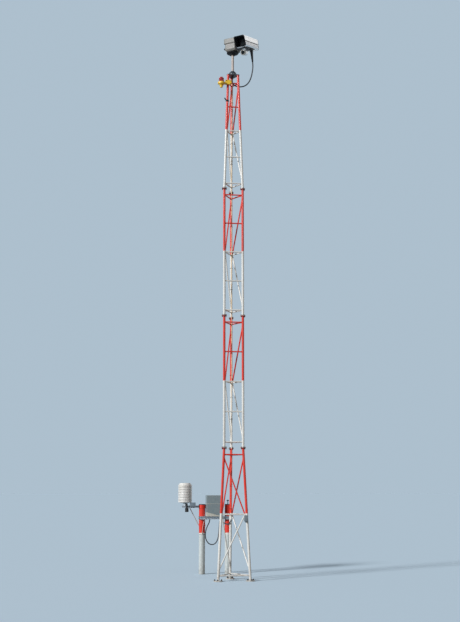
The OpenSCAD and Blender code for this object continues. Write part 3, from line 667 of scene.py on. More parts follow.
def beads(name, lines, radius, finish, slot, body, closed=True, ripple=0.0):
    """One piece of round section along lines of points, each closed to a loop or open."""
    mesh = bpy.data.meshes.new(name + " lines")
    points, edges = [], []
    for line in lines:
        first = len(points)
        points += line
        edges += [(first + i, first + i + 1) for i in range(len(line) - 1)]
        if closed:
            edges.append((first + len(line) - 1, first))
    mesh.from_pydata([tuple(p) for p in points], edges, [])
    made = grown(name, mesh, beading, Radius=radius, Ripple=ripple, Finish=finish)
    made.data.shade_smooth()
    fitted(made, slot, body)


beads("weld_beads", [weld_line(*end) for end in bar_ends()], WELD_R, banded, "banded_paint", "mast",
      ripple=WELD_RIPPLE)


# The bolts: four M12 through each pair of splice flanges, with washers, a head above and a nut
# below, and four M16 anchor studs in each foot plate. All are zinc plated and long since dull.
FLANGE_BOLT_R = 0.036
FLANGE_GRIP = 0.020
ANCHOR_R = 0.0625
FOOT_PLATE_T = 0.014
ANCHOR_DEPTH = FOOT_PLATE_T - 0.0005
WASHER_SHARE, WASHER_WIDTH = 0.25, 0.62
CHAMFER_SHARE, CHAMFER_TAPER, SHANK_WIDTH = 0.2, 0.82, 0.32
UP = Vector((0, 0, 1))


def dull_zinc(name, bright, dark, rust):
    """Zinc plate gone dull, with brown stains where the coat is thin."""
    look = Finish(name)
    shade = look.mix(look.cloud(55, 4), dark, bright)
    shade = look.mix(look.patches(24, 5, 0.54, 0.70, rust), shade, (0.14, 0.070, 0.035))
    return look.done(shade, look.spread(90, 4, 0.38, 0.66), (look.cloud(260, 3), 0.25, 0.0005),
                     Metallic=0.75)


def hexagon_tree():
    """A washer, a chamfered hexagon and a shank at each base point, standing as it faces."""
    tree, given = tree_of("hexagons", {"Across flats": "Float", "Height": "Float", "Depth": "Float",
                                       "Stand out": "Float", "Finish": "Material"})
    across, height = given["Across flats"], given["Height"]
    corner = calc(tree, "MULTIPLY", across, 1 / sqrt(3))
    washer_t = calc(tree, "MULTIPLY", height, WASHER_SHARE)
    flat_side = calc(tree, "MULTIPLY", height, 1 - CHAMFER_SHARE)
    chamfer = calc(tree, "MULTIPLY", height, CHAMFER_SHARE)
    top = calc(tree, "ADD", washer_t, height)
    length = calc(tree, "ADD", given["Depth"], calc(tree, "ADD", top, given["Stand out"]))
    joined = put(tree, "GeometryNodeJoinGeometry")
    for sides, radius, low, rise, taper, open_end in (
            (16, calc(tree, "MULTIPLY", across, WASHER_WIDTH), 0.0, washer_t, 1.0, None),
            (6, corner, washer_t, flat_side, 1.0, "Top"),
            (6, corner, calc(tree, "ADD", washer_t, flat_side), chamfer, CHAMFER_TAPER, "Bottom"),
            (10, calc(tree, "MULTIPLY", across, SHANK_WIDTH),
             calc(tree, "MULTIPLY", given["Depth"], -1), length, 1.0, None)):
        shape = disc = put(tree, "GeometryNodeMeshCone", {
            "Vertices": sides, "Radius Top": calc(tree, "MULTIPLY", radius, taper),
            "Radius Bottom": radius, "Depth": rise})
        if open_end:
            shape = put(tree, "GeometryNodeDeleteGeometry",
                        {"Geometry": disc, "Selection": disc.outputs[open_end]}, domain="FACE")
        lift = put(tree, "ShaderNodeCombineXYZ", {2: low})
        stacked = put(tree, "GeometryNodeTransform", {"Geometry": shape, "Translation": lift})
        join(tree, stacked, joined.inputs[0])
    whole = put(tree, "GeometryNodeMergeByDistance", {"Geometry": joined, "Distance": 0.00001})
    facing = put(tree, "GeometryNodeInputNamedAttribute", {"Name": "direction"},
                 data_type="FLOAT_VECTOR")
    aim = put(tree, "FunctionNodeAlignRotationToVector", {"Vector": facing}, axis="Z")
    spin = put(tree, "FunctionNodeRandomValue", {2: 0.0, 3: 6.28, "Seed": 7}, data_type="FLOAT")
    spun = put(tree, "FunctionNodeAxisAngleToRotation",
               {"Axis": (0, 0, 1), "Angle": spin.outputs[1]})
    both = put(tree, "FunctionNodeRotateRotation", {0: aim, 1: spun}, rotation_space="LOCAL")
    dots = put(tree, "GeometryNodeMeshToPoints", {0: given["Geometry"]})
    stood = put(tree, "GeometryNodeInstanceOnPoints",
                {"Points": dots, "Instance": whole, "Rotation": both})
    return ended(tree, stood, given["Finish"])


hexagons = hexagon_tree()


def bolts(name, places, finish, body, across, height, depth, out):
    """Hexagons at places, each a point and a direction, with shanks to depth and out on top."""
    places = list(places)
    mesh = bpy.data.meshes.new(name)
    mesh.from_pydata([tuple(p) for p, way in places], [], [])
    facing = mesh.attributes.new("direction", "FLOAT_VECTOR", "POINT")
    for k, (p, way) in enumerate(places):
        facing.data[k].vector = way
    made = grown(name, mesh, hexagons, Across_flats=across, Height=height, Depth=depth,
                 Stand_out=out, Finish=finish)
    made.data.shade_flat()
    fitted(made, "zinc", body)


def round_leg(leg, z, r):
    for k in range(4):
        turn = radians(LEG_TURNS[leg] + 45 + 90 * k)
        yield leg_at(leg, z) + Vector((r * cos(turn), r * sin(turn), 0))


old_zinc = dull_zinc("old zinc", (0.10, 0.095, 0.09), (0.035, 0.03, 0.03), 0.8)
splices = [p for z in LEVELS[1:4] for leg in range(3) for p in round_leg(leg, z, FLANGE_BOLT_R)]
anchors = [p for leg in range(3) for p in round_leg(leg, 0, ANCHOR_R)]
bolts("splice_heads", [(p + UP * FLANGE_GRIP / 2, UP) for p in splices], old_zinc, "mast",
      across=0.019, height=0.008, depth=FLANGE_GRIP, out=-0.004)
bolts("splice_nuts", [(p - UP * FLANGE_GRIP / 2, -UP) for p in splices], old_zinc, "mast",
      across=0.019, height=0.010, depth=0.004, out=0.007)
bolts("anchor_nuts", [(p + UP * FOOT_PLATE_T, UP) for p in anchors], old_zinc, "mast",
      across=0.024, height=0.013, depth=ANCHOR_DEPTH, out=0.012)


# The mast head: a steel plate across the three legs with a gland under it for each cable, a domed
# cast socket on top, the steel pole that stands in it, and the dished base of the turning head.
POLE_D = 0.050
PLATE_TOP = 9.815
SOCKET_EDGE_T, SOCKET_BOLT_R = 0.0095, 0.079
SOCKET_NECK_R = POLE_D / 2 + 0.009
SOCKET_TOP = PLATE_TOP + 0.090


def coat(name, colour, dust, worn, metal=0.0, rough=(0.35, 0.6), dusty=0.35, streak=0.25,
         grain=220, depth=0.0004, edge=0.004, **sockets):
    """Clouded colour with dust in patches, rain streaks, and edges worn to what lies under it."""
    look = Finish(name)
    shade = look.mix(look.spread(18, 5, 0, dusty), colour, dust)
    shade = look.mix(look.patches(45, 4, 0.5, 0.72, streak, drawn=0.06), shade, dust)
    rounded = put(look.tree, "ShaderNodeBevel", {"Radius": edge}, samples=4)
    flat = put(look.tree, "ShaderNodeNewGeometry").outputs["Normal"]
    edges = between(look.tree, dot(look.tree, rounded, flat), 0.985, 0.80)
    rubbed = look.calc("MULTIPLY", edges, look.patches(60, 4, 0.40, 0.60, 0.7))
    return look.done(look.mix(rubbed, shade, worn), look.spread(50, 4, *rough),
                     (look.cloud(grain, 3), 0.35, depth), Metallic=metal, **sockets)


black_metal = coat("black metal paint", (0.010, 0.010, 0.012), (0.030, 0.024, 0.024),
                   (0.10, 0.10, 0.10), rough=(0.48, 0.68), Specular_IOR_Level=0.22)
black_plastic = coat("black plastic", (0.018, 0.018, 0.020), (0.075, 0.072, 0.068),
                     (0.10, 0.10, 0.10), rough=(0.42, 0.62), grain=500, Specular_IOR_Level=0.22)
new_zinc = dull_zinc("plated steel", (0.52, 0.52, 0.51), (0.28, 0.28, 0.29), 0.25)
finish_nodes(coat("plate steel", (0.040, 0.046, 0.052), (0.12, 0.12, 0.12), (0.17, 0.10, 0.07),
                  metal=0.3), "top_plate")
finish_nodes(black_plastic, "plate_glands", "cabinet_glands")
finish_nodes(coat("socket casting", (0.045, 0.055, 0.065), (0.12, 0.13, 0.14), (0.42, 0.44, 0.44),
                  metal=0.6, rough=(0.28, 0.46), grain=130, depth=0.0008), "pole_socket")
finish_nodes(coat("pole steel", (0.50, 0.43, 0.39), (0.36, 0.30, 0.27), (0.62, 0.60, 0.58),
                  metal=0.25, rough=(0.40, 0.55), dusty=0.5, streak=0.5), "pole")
finish_nodes(black_metal, "pan_base")


def ring_of(place, count, r, z, first, outward=False):
    """Places round an upright line through a point, facing up or outward."""
    for k in range(count):
        turn = radians(first + 360 * k / count)
        out = Vector((cos(turn), sin(turn), 0))
        yield place + out * r + Vector((0, 0, z)), out if outward else UP


bolts("socket_bolts", ring_of(AXIS, 6, SOCKET_BOLT_R, PLATE_TOP + SOCKET_EDGE_T, 30), new_zinc,
      "mast", across=0.010, height=0.006, depth=0.006, out=-0.003)
bolts("socket_grub_screws", ring_of(AXIS, 4, SOCKET_NECK_R, SOCKET_TOP - 0.005, 15, True),
      new_zinc, "mast", across=0.006, height=0.004, depth=0.004, out=-0.002)


# The obstruction light: a yellow cast base on a yellow clamp block, which is bolted to the outer
# side of the left leg. Its dome is ribbed red glass round a frosted lamp.
LIGHT_Z = 9.628
LIGHT_REACH = 0.137
BLOCK_REACH, BLOCK_FACE = BAR_D / 2 + 0.027, 0.025
BASE_SCREW_R = 0.0605
DOME_LIFT = 0.003
DOME_SIDE_H = 0.059
GLASS_R, GLASS_T = 0.0498, 0.004
LEVEL_RIBS, LEVEL_RIB_T = 8, 0.0016
FLUTES, FLUTE_DEPTH = 20, 0.022
BULB_LINE = [(0, 0.0), (0.026, 0.0), (0.026, 0.010), (0.014, 0.014), (0.013, 0.028),
             (0.019, 0.042), (0.021, 0.054), (0.017, 0.068), (0.009, 0.076), (0, 0.079)]
CREASE = radians(38)
FRONT = Vector((0, -1, 0))
block = leg_at(LEFT, LIGHT_Z) - Vector((0, BLOCK_REACH, 0))
light_foot = Vector((block.x - LIGHT_REACH, block.y, LIGHT_Z + DOME_LIFT))
finish_nodes(coat("yellow paint", (0.98, 0.66, 0.040), (0.80, 0.46, 0.04), (0.30, 0.22, 0.13),
                  rough=(0.28, 0.46), dusty=0.30, streak=0.35), "light_bracket", "light_base")


def turned(name, outline, place, finish, sides=48, flutes=0, flute_depth=0.0):
    """A turned solid from its outline of (radius, height) points, taken along its skin."""
    shape = bmesh.new()
    closed = outline[0] == outline[-1]
    rings = []
    for r, h in outline[:-1] if closed else outline:
        rings.append([])
        for k in range(sides if r else 1):
            turn = 2 * pi * k / sides
            width = r * (1 + flute_depth * cos(flutes * turn))
            point = place @ Vector((width * cos(turn), width * sin(turn), h))
            rings[-1].append(shape.verts.new(point))
    join_rings(shape, [*rings, rings[0]] if closed else rings)
    bmesh.ops.recalc_face_normals(shape, faces=shape.faces)
    made = piece(name, shape, finish)
    made.data.set_sharp_from_angle(angle=CREASE)
    return made


def red_glass():
    look = Finish("red glass")
    shade = look.mix(look.cloud(30, 3), (0.55, 0.012, 0.012), (0.75, 0.03, 0.025))
    return look.done(shade, look.spread(60, 3, 0.06, 0.16), (look.cloud(120, 2), 0.2, 0.0006),
                     Transmission_Weight=0.55, IOR=1.48, Coat_Weight=0.6, Coat_Roughness=0.08)


def frosted_white():
    look = Finish("frosted lamp")
    shade = look.mix(look.cloud(80, 2), (0.80, 0.78, 0.72), (0.62, 0.58, 0.52))
    return look.done(shade, look.spread(90, 2, 0.25, 0.4))


def dome_line(r):
    """The dome's outline, with level ribs up its side, then its round top."""
    steps = 2 * LEVEL_RIBS
    side = [(r - (LEVEL_RIB_T if k % 2 else 0), DOME_SIDE_H * k / steps)
            for k in range(steps + 1)]
    return side + [(r * cos(radians(a)), DOME_SIDE_H + r * sin(radians(a)))
                   for a in range(10, 90, 10)]


def corners(across, up, middle=0.0):
    """The four corners of a pattern that reaches across and up from its middle."""
    return [(x, y) for x in (-across, across) for y in (middle - up, middle + up)]


outer, inner = dome_line(GLASS_R), dome_line(GLASS_R - GLASS_T)
glass_top = DOME_SIDE_H + GLASS_R
dome = turned("light_glass",
              [*outer, (0, glass_top), (0, glass_top - GLASS_T), *inner[::-1], outer[0]],
              Matrix.Translation(light_foot), red_glass(), FLUTES * 4, FLUTES, FLUTE_DEPTH)
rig.replaces(dome, "light_dome")
fitted(dome, "red_glass", "mast")
fitted(turned("light_lamp", BULB_LINE, Matrix.Translation(light_foot), frosted_white(), 32),
       "white_plastic", "mast")
bolts("light_block_bolts", [(block + Vector((x, -BLOCK_FACE, z)), FRONT)
                            for x, z in corners(0.042, 0.030)],
      old_zinc, "mast", across=0.013, height=0.007, depth=0.010, out=0.004)
bolts("light_base_screws", ring_of(Vector((light_foot.x, light_foot.y, 0)), 6, BASE_SCREW_R,
                                   LIGHT_Z - 0.0025, 30),
      new_zinc, "mast", across=0.007, height=0.004, depth=0.006, out=-0.002)


# The peg on the left leg, a slanted step of dark steel on its clamp, and the blue grey junction
# box on the right leg, with its lid, four lid screws and a gland underneath.
BOX_W, BOX_H, BOX_SHIFT, BOX_FRONT = 0.064, 0.110, 0.028, 0.080
BOX_Z = rings_of(0)[1] - 0.015 - BOX_H
LID_T, LID_LIP, LID_DEPTH = 0.004, 0.0015, 0.014
GLAND_BACK = 0.032
GLAND_LINE = [(0, 0), (0.011, 0), (0.011, 0.006), (0.009, 0.008), (0.010, 0.010), (0.010, 0.020),
              (0.006, 0.025), (0, 0.025)]
blue_grey = coat("blue grey paint", (0.170, 0.225, 0.265), (0.30, 0.33, 0.34), (0.40, 0.42, 0.42),
                 rough=(0.35, 0.55), dusty=0.30, streak=0.30)
finish_nodes(black_metal, "leg_peg")
finish_nodes(blue_grey, "leg_box")


def slab(name, low, high, finish, place=Matrix(), bevel=0.002):
    """A box with rounded edges between two corners, in a frame of its own."""
    shape = bmesh.new()
    bmesh.ops.create_cube(shape, size=1)
    for v in shape.verts:
        v.co = Vector([low[i] + (high[i] - low[i]) * (v.co[i] + 0.5) for i in range(3)])
    bmesh.ops.bevel(shape, geom=shape.edges[:], offset=bevel, segments=3, affect="EDGES",
                    profile=0.5)
    bmesh.ops.transform(shape, matrix=place, verts=shape.verts)
    return piece(name, shape, finish)


def gland(name, place):
    """A black cable gland under a box."""
    downward = Matrix.Translation(place) @ Matrix.Rotation(pi, 4, "X")
    fitted(turned(name, GLAND_LINE, downward, black_plastic, 24), "black_plastic", "mast")


box_leg = leg_at(RIGHT, BOX_Z + BOX_H / 2)
box_x, box_y = box_leg.x - BOX_SHIFT, box_leg.y - BOX_FRONT
lid = slab("leg_box_lid", (box_x - BOX_W / 2 - LID_LIP, box_y - LID_T, BOX_Z - LID_LIP),
           (box_x + BOX_W / 2 + LID_LIP, box_y + LID_DEPTH, BOX_Z + BOX_H + LID_LIP), blue_grey)
fitted(lid, "blue_grey_paint", "mast")
bolts("leg_box_screws", [(Vector((box_x + x, box_y - LID_T, BOX_Z + BOX_H / 2 + z)), FRONT)
                         for x, z in corners(0.024, 0.047)],
      new_zinc, "mast", across=0.006, height=0.003, depth=0.003, out=-0.001)
gland("leg_box_gland", (box_x, box_y + GLAND_BACK, BOX_Z))


# The cable up the back leg: rubber, painted over with the bands, held off the leg by painted
# clips and, between them, by black nylon ties round cable and leg.
CABLE_OFFSET = 0.062
MAST_CABLE = 0.020
TIE_T, TIE_R, TIE_POINTS = 0.0016, 0.0022, 40
TIE_FIRST, TIE_PITCH, TIE_COUNT, CLIP_CLEARANCE = 1.30, 0.42, 20, 0.06


def flaking_paint():
    """The bands' paint on the cable, flaked off its tan jacket everywhere but near the ground."""
    look = Finish("flaking paint")
    flaked = between(look.tree, look.cloud(16, 4), 0.42, 0.50, 0.55, 1)
    bare = look.calc("MULTIPLY", between(look.tree, look.height(), 2.5, 4.0, 0.1, 1), flaked)
    jacket = look.mix(look.spread(28, 4, 0, 1), (0.88, 0.70, 0.47), (0.70, 0.53, 0.36))
    shade = look.mix(bare, banded_by_height(look, BAND_EDGES, (WHITE, RED) * 4), jacket)
    return look.done(shade, look.spread(60, 3, 0.40, 0.60), (look.cloud(240, 3), 0.3, 0.0005))


finish_nodes(flaking_paint(), "mast_cable")
finish_nodes(banded, "cable_clips")


def tie_line(z):
    """The closed line of a tie pulled round the leg and the cable in front of it."""
    leg = leg_at(BACK, z)
    far, near = LEG_D / 2 + TIE_T, MAST_CABLE / 2 + TIE_T
    spread = acos((far - near) / CABLE_OFFSET)
    line = []
    for k in range(TIE_POINTS):
        turn = 2 * pi * k / TIE_POINTS
        on_cable = abs(turn - 1.5 * pi) < spread
        centre = leg - Vector((0, CABLE_OFFSET, 0)) if on_cable else leg
        line.append(centre + (near if on_cable else far) * Vector((cos(turn), sin(turn), 0)))
    return line


clip_heights = [z for k in range(4) for z in rings_of(k)]
tie_heights = [TIE_FIRST + TIE_PITCH * k for k in range(TIE_COUNT)]
beads("cable_ties", [tie_line(z) for z in tie_heights
                     if min(abs(z - clip) for clip in clip_heights) > CLIP_CLEARANCE],
      TIE_R, black_plastic, "black_plastic", "mast")


# The turning head: a square cast body on the base's spigot, under a larger cast cover. Both are
# painted grey and chalky. Cap bolts hold the cover, and a black plug closes the body's side.
PAN_REST = radians(-37)
PAN_FRAME = Matrix.Translation(AXIS) @ Matrix.Rotation(PAN_REST, 4, "Z")
COVER_TOP = 10.564
BODY_HALF, BODY_MIDDLE = 0.118, 10.396
PLUG_PLACE = (-BODY_HALF, -0.080, 10.366)
PLUG_LINE = [(0, 0), (0.024, 0), (0.024, 0.005), (0.020, 0.006), (0.020, 0.018), (0.017, 0.019),
             (0.016, 0.028), (0, 0.029)]
cast_grey = coat("cast grey paint", (0.215, 0.225, 0.205), (0.33, 0.30, 0.30),
                 (0.50, 0.50, 0.50), rough=(0.42, 0.62), dusty=0.55, streak=0.30, grain=150,
                 depth=0.0007, edge=0.005)
finish_nodes(cast_grey, "pan_body", "pan_cover")


def aimed(frame, places, way):
    """Points and one direction, taken from a frame of their own."""
    facing = frame.to_3x3() @ Vector(way)
    return [(frame @ Vector(p), facing) for p in places]


bolts("cover_bolts", aimed(PAN_FRAME, [(x, y, COVER_TOP) for x, y in corners(0.098, 0.098)], UP),
      new_zinc, "pan_head", across=0.010, height=0.005, depth=0.004, out=-0.002)
bolts("body_bolts", aimed(PAN_FRAME, [(x, -BODY_HALF, z)
                                      for x, z in corners(0.088, 0.040, BODY_MIDDLE)], FRONT),
      new_zinc, "pan_head", across=0.010, height=0.005, depth=0.004, out=-0.002)
sideways = PAN_FRAME @ Matrix.Translation(PLUG_PLACE) @ Matrix.Rotation(-pi / 2, 4, "Y")
fitted(turned("body_plug", PLUG_LINE, sideways, black_plastic, 32, 16, 0.02), "black_plastic",
       "pan_head")


# The camera: a folded shell of bare silver metal with ribbed sides, open at the slanted front,
# where it is lined and edged in black round a dark window. It sits on a dark shelf bracket, and
# has a black rear plate and the cable's rubber boot.
TILT_Z = 10.446
TILT_REST = radians(12)
CAMERA_FRAME = (PAN_FRAME @ Matrix.Translation((0, 0, TILT_Z)) @ Matrix.Rotation(TILT_REST, 4, "X")
                @ Matrix.Translation((0, 0, -TILT_Z)))
HOUSING_X, HOUSING_W, HOUSING_H = 0.320, 0.240, 0.214
HOUSING_FRONT, HOUSING_REAR, VISOR, OPEN_DEPTH = 0.284, 0.266, 0.050, 0.110
REAR_T = 0.014
SHELF_Z, SHELF_T = TILT_Z - 0.020 - HOUSING_H / 2, 0.0103
HOUSING_MIDDLE = SHELF_Z + HOUSING_H / 2
RIB_HEIGHTS = (0.030, 0.044, 0.058, 0.072, 0.122, 0.178)
RIB_R, RIB_INSET, RIB_STEPS = 0.0035, 0.006, 12
GROOVE, GROOVE_HALF = 0.0984, 0.009
BRIGHT_SILVER, CLOUDED_SILVER = (0.93, 0.93, 0.92), (0.76, 0.77, 0.79)
BRUSH_MARKS, RIB_PAINTED_SHADE, EDGE_BLACK = (0.62, 0.62, 0.63), (0.20, 0.20, 0.22), (0.012, 0.012, 0.014)


def shell_silver(name, shaded_and_blackened):
    """Bare bright metal, brushed along the shell. Shaded and blackened, it has painted shade over
    the band of close ribs, and is black on its front edges and the wall inside."""
    look = Finish(name)
    tree, turn = look.tree, CAMERA_FRAME.to_3x3()
    lengthways, upward = turn @ Vector((0, 1, 0)), turn @ UP
    along = look.calc("MULTIPLY", dot(tree, look.where, lengthways), 0.95)
    drawn = put(tree, "ShaderNodeVectorMath", {0: lengthways, "Scale": along}, operation="SCALE")
    across = put(tree, "ShaderNodeVectorMath", {0: look.where, 1: drawn}, operation="SUBTRACT")
    brushed = look.cloud(320, 4, where=across)
    shade = look.mix(look.patches(12, 4, 0.35, 0.65, 0.5), BRIGHT_SILVER, CLOUDED_SILVER)
    shade = look.mix(between(tree, brushed, 0.35, 0.7, 0, 0.08), shade, BRUSH_MARKS)
    if shaded_and_blackened:
        shelf = upward.dot(CAMERA_FRAME @ Vector((HOUSING_X, 0, SHELF_Z)))
        rise = look.calc("SUBTRACT", dot(tree, look.where, upward), shelf)
        # Painted shade: the band of close ribs low on each side is darkened, as if shade fell between them.
        rib_shade_share = look.calc("MULTIPLY", look.calc("GREATER_THAN", rise, RIB_HEIGHTS[0] - 0.010),
                           look.calc("LESS_THAN", rise, RIB_HEIGHTS[3] + 0.010))
        shade = look.mix(look.calc("MULTIPLY", rib_shade_share, 0.75), shade, RIB_PAINTED_SHADE)
        slant = (turn @ Vector((0, -HOUSING_H, -VISOR))).normalized()
        facing = dot(tree, put(tree, "ShaderNodeTexCoord").outputs["Normal"], slant)
        shade = look.mix(look.calc("GREATER_THAN", facing, 0.90), shade, EDGE_BLACK)
    return look.done(shade, between(tree, brushed, 0.3, 0.7, 0.24, 0.40), (brushed, 0.06, 0.0002),
                     Metallic=0.85)


def dark_window():
    """Coated glass in front of the dark: near black, with a faint blue green bloom."""
    look = Finish("dark window")
    shade = look.mix(look.patches(9, 2, 0.35, 0.65), (0.003, 0.004, 0.005), (0.008, 0.012, 0.014))
    return look.done(shade, look.spread(30, 3, 0.04, 0.10), Specular_IOR_Level=0.18)


# The bright silver is the shell's metal without its painted rib shade and without its black front.
bright, glass = shell_silver("bright silver", False), dark_window()
finish_nodes(shell_silver("shell silver", True), "camera_housing")
finish_nodes(coat("lining black", (0.010, 0.010, 0.011), (0.030, 0.030, 0.030),
                  (0.05, 0.05, 0.05), rough=(0.55, 0.75), grain=600), "camera_hood")
finish_nodes(glass, "camera_window")
finish_nodes(black_metal, "camera_bracket", "camera_rear")
finish_nodes(rubber, "cable_boot")


def front_at(height):
    """Where the slanted front is, at a height above the shelf."""
    return -HOUSING_FRONT - VISOR * height / HOUSING_H


def rib_line(side, height):
    x = HOUSING_X + side * HOUSING_W / 2
    front, length = front_at(height) + RIB_INSET, HOUSING_REAR - RIB_INSET
    return [CAMERA_FRAME @ Vector((x, front + (length - front) * k / RIB_STEPS, SHELF_Z + height))
            for k in range(RIB_STEPS + 1)]


beads("shell_ribs", [rib_line(side, h) for side in (-1, 1) for h in RIB_HEIGHTS], RIB_R, bright,
      "silver_metal", "camera", closed=False)
for side, name in ((-1, "groove_strip_left"), (1, "groove_strip_right")):
    low, high = sorted((side * (HOUSING_W / 2 - 0.002), side * (HOUSING_W / 2 + 0.0016)))
    strip = slab(name, (HOUSING_X + low, front_at(GROOVE) + 0.008, SHELF_Z + GROOVE - GROOVE_HALF),
                 (HOUSING_X + high, HOUSING_REAR - 0.004, SHELF_Z + GROOVE + GROOVE_HALF),
                 black_plastic, CAMERA_FRAME, 0.0008)
    fitted(strip, "black_plastic", "camera")

WINDOW_PLACE = (HOUSING_X, OPEN_DEPTH - HOUSING_FRONT - 0.0083, HOUSING_MIDDLE)
FORWARD = Matrix.Rotation(pi / 2, 4, "X")
window_frame = CAMERA_FRAME @ Matrix.Translation(WINDOW_PLACE) @ FORWARD
for name, outline in (
        ("window_rim", [(0.078, -0.008), (0.084, -0.008), (0.084, 0.003), (0.082, 0.005),
                        (0.078, 0.005), (0.076, 0.003), (0.076, -0.001), (0.078, -0.008)]),
        ("lens_ring", [(0.036, -0.001), (0.048, -0.001), (0.048, 0.002), (0.040, 0.004),
                       (0.036, 0.002), (0.036, -0.001)])):
    fitted(turned(name, outline, window_frame, black_metal, 64), "black_paint", "camera")
bolts("rear_screws", aimed(CAMERA_FRAME, [(HOUSING_X + x, HOUSING_REAR + REAR_T, z)
                                          for x, z in corners(0.098, 0.085, HOUSING_MIDDLE)],
                           -FRONT),
      new_zinc, "camera", across=0.008, height=0.004, depth=0.003, out=-0.002)
bolts("shelf_bolts", aimed(CAMERA_FRAME, [(HOUSING_X + x, y, SHELF_Z - SHELF_T)
                                          for x, y in corners(0.070, 0.070, -0.010)], -UP),
      new_zinc, "camera", across=0.013, height=0.007, depth=0.005, out=-0.003)


# The small lamp under the camera's front: a bare silver tube on a bracket, with six cooling fins
# round it. Its cast face ring holds a shallow domed glass.
LAMP_R = 0.055
LAMP_PLACE = (HOUSING_X, -0.210, SHELF_Z - 0.0106 - 0.030 - LAMP_R)
FACE_LINE = [(0, 0.0015), (0.0385, 0.0015), (0.0405, 0.006), (0.0535, 0.005), (0.0565, 0.002),
             (0.0565, -0.016), (0.0552, -0.018), (0, -0.018)]
LAMP_GLASS_LINE = [(0, 0.0050), (0.026, 0.0045), (0.0388, 0.0022), (0.0388, 0.0005), (0, 0.0005)]
FIN_LINE = [(LAMP_R - 0.002, 0.0), (LAMP_R + 0.0015, 0.0006), (LAMP_R + 0.0015, 0.0028),
            (LAMP_R - 0.002, 0.0034), (LAMP_R - 0.002, 0.0)]
FINS, FIN_FIRST, FIN_PITCH = 6, -0.034, 0.012
lamp_frame = CAMERA_FRAME @ Matrix.Translation(LAMP_PLACE) @ FORWARD
finish_nodes(bright, "under_lamp")
fitted(turned("under_lamp_face", FACE_LINE, lamp_frame, cast_grey, 64), "silver_metal", "camera")
fitted(turned("under_lamp_glass", LAMP_GLASS_LINE, lamp_frame, glass, 64), "window_glass", "camera")
for k in range(FINS):
    place = lamp_frame @ Matrix.Translation((0, 0, FIN_FIRST - FIN_PITCH * k))
    fitted(turned(f"under_lamp_fin_{k + 1}", FIN_LINE, place, bright, 64), "silver_metal", "camera")


# The equipment stand: two posts set in the ground and painted red over pale grey, with dark caps,
# and a galvanised channel held across them by U-bolts in saddles.
STAND_BACK = 1.500
POST_D = 0.124
POST_XS = (-0.395, 0.125)
BEAM_Z, BEAM_H, BEAM_T = 1.095, 0.060, 0.040
BEAM_Y = STAND_BACK - POST_D / 2 - BEAM_T / 2 - 0.006
BEAM_FRONT = BEAM_Y - BEAM_T / 2
POST_EDGES = (0.765, 0.800)
POST_PALE = (0.62, 0.69, 0.70)
U_BOLT_R, U_BOLT_END, U_TURN_POINTS = 0.0052, 0.026, 15
finish_nodes(mast_paint("post paint", POST_EDGES, (POST_PALE, WHITE, RED), 0.22), "left_post",
             "right_post")
finish_nodes(coat("galvanised steel", (0.50, 0.57, 0.63), (0.66, 0.70, 0.73), (0.66, 0.68, 0.70),
                  metal=0.45, rough=(0.38, 0.58), dusty=0.6, streak=0.35, grain=90), "stand_beam",
             "beam_saddles", "screen_base")
finish_nodes(coat("cap paint", (0.045, 0.055, 0.075), (0.13, 0.14, 0.16), (0.22, 0.20, 0.19),
                  metal=0.1), "post_caps")


def u_bolt_line(x, z):
    """The line of a U-bolt from in front of the beam, round behind the post and back."""
    reach = POST_D / 2 + U_BOLT_R
    front = BEAM_FRONT - U_BOLT_END
    turns = [pi * k / U_TURN_POINTS for k in range(U_TURN_POINTS + 1)]
    return [at(x - reach, front, z),
            *[at(x - reach * cos(turn), STAND_BACK + reach * sin(turn), z) for turn in turns],
            at(x + reach, front, z)]


u_lines = [u_bolt_line(x, BEAM_Z + dz) for x in POST_XS for dz in (-0.018, 0.018)]
beads("u_bolts", u_lines, U_BOLT_R, old_zinc, "zinc", "mast", closed=False)
bolts("u_bolt_nuts", [(Vector((p.x, AXIS.y + BEAM_FRONT, p.z)), FRONT)
                      for line in u_lines for p in (line[0], line[-1])],
      old_zinc, "mast", across=0.017, height=0.009, depth=0.004, out=-0.002)


# The pale lead: a thin sheathed wire that comes from under the beam and lies against the front of
# the left post. A black band round the post holds its lower end.
LEAD_R = 0.0042
LEAD_PATH = ((34, 1.066), (25, 1.015), (12, 0.960), (3, 0.895), (-3, 0.830), (-6, 0.768))
LEAD_SINK = 0.0004
BAND_Z, BAND_R, BAND_OFF, BAND_POINTS = 0.772, 0.0024, 0.0016, 40
pale_lead = coat("pale lead", (0.82, 0.74, 0.68), (0.58, 0.50, 0.44), (0.85, 0.80, 0.75))


def round_post(angle, z, off):
    """A point off the left post's skin, at an angle from its front."""
    turn, r = radians(angle), POST_D / 2 + off
    return at(POST_XS[0] + r * sin(turn), STAND_BACK - r * cos(turn), z)


lead_points = [round_post(angle, z, LEAD_R - LEAD_SINK) for angle, z in LEAD_PATH]
beads("post_lead", [smooth_route(lead_points, 6)], LEAD_R, pale_lead, "white_plastic", "mast",
      closed=False)
band_points = [round_post(360 * k / BAND_POINTS, BAND_Z, BAND_OFF) for k in range(BAND_POINTS)]
beads("post_band", [band_points], BAND_R, black_plastic, "black_plastic", "mast")


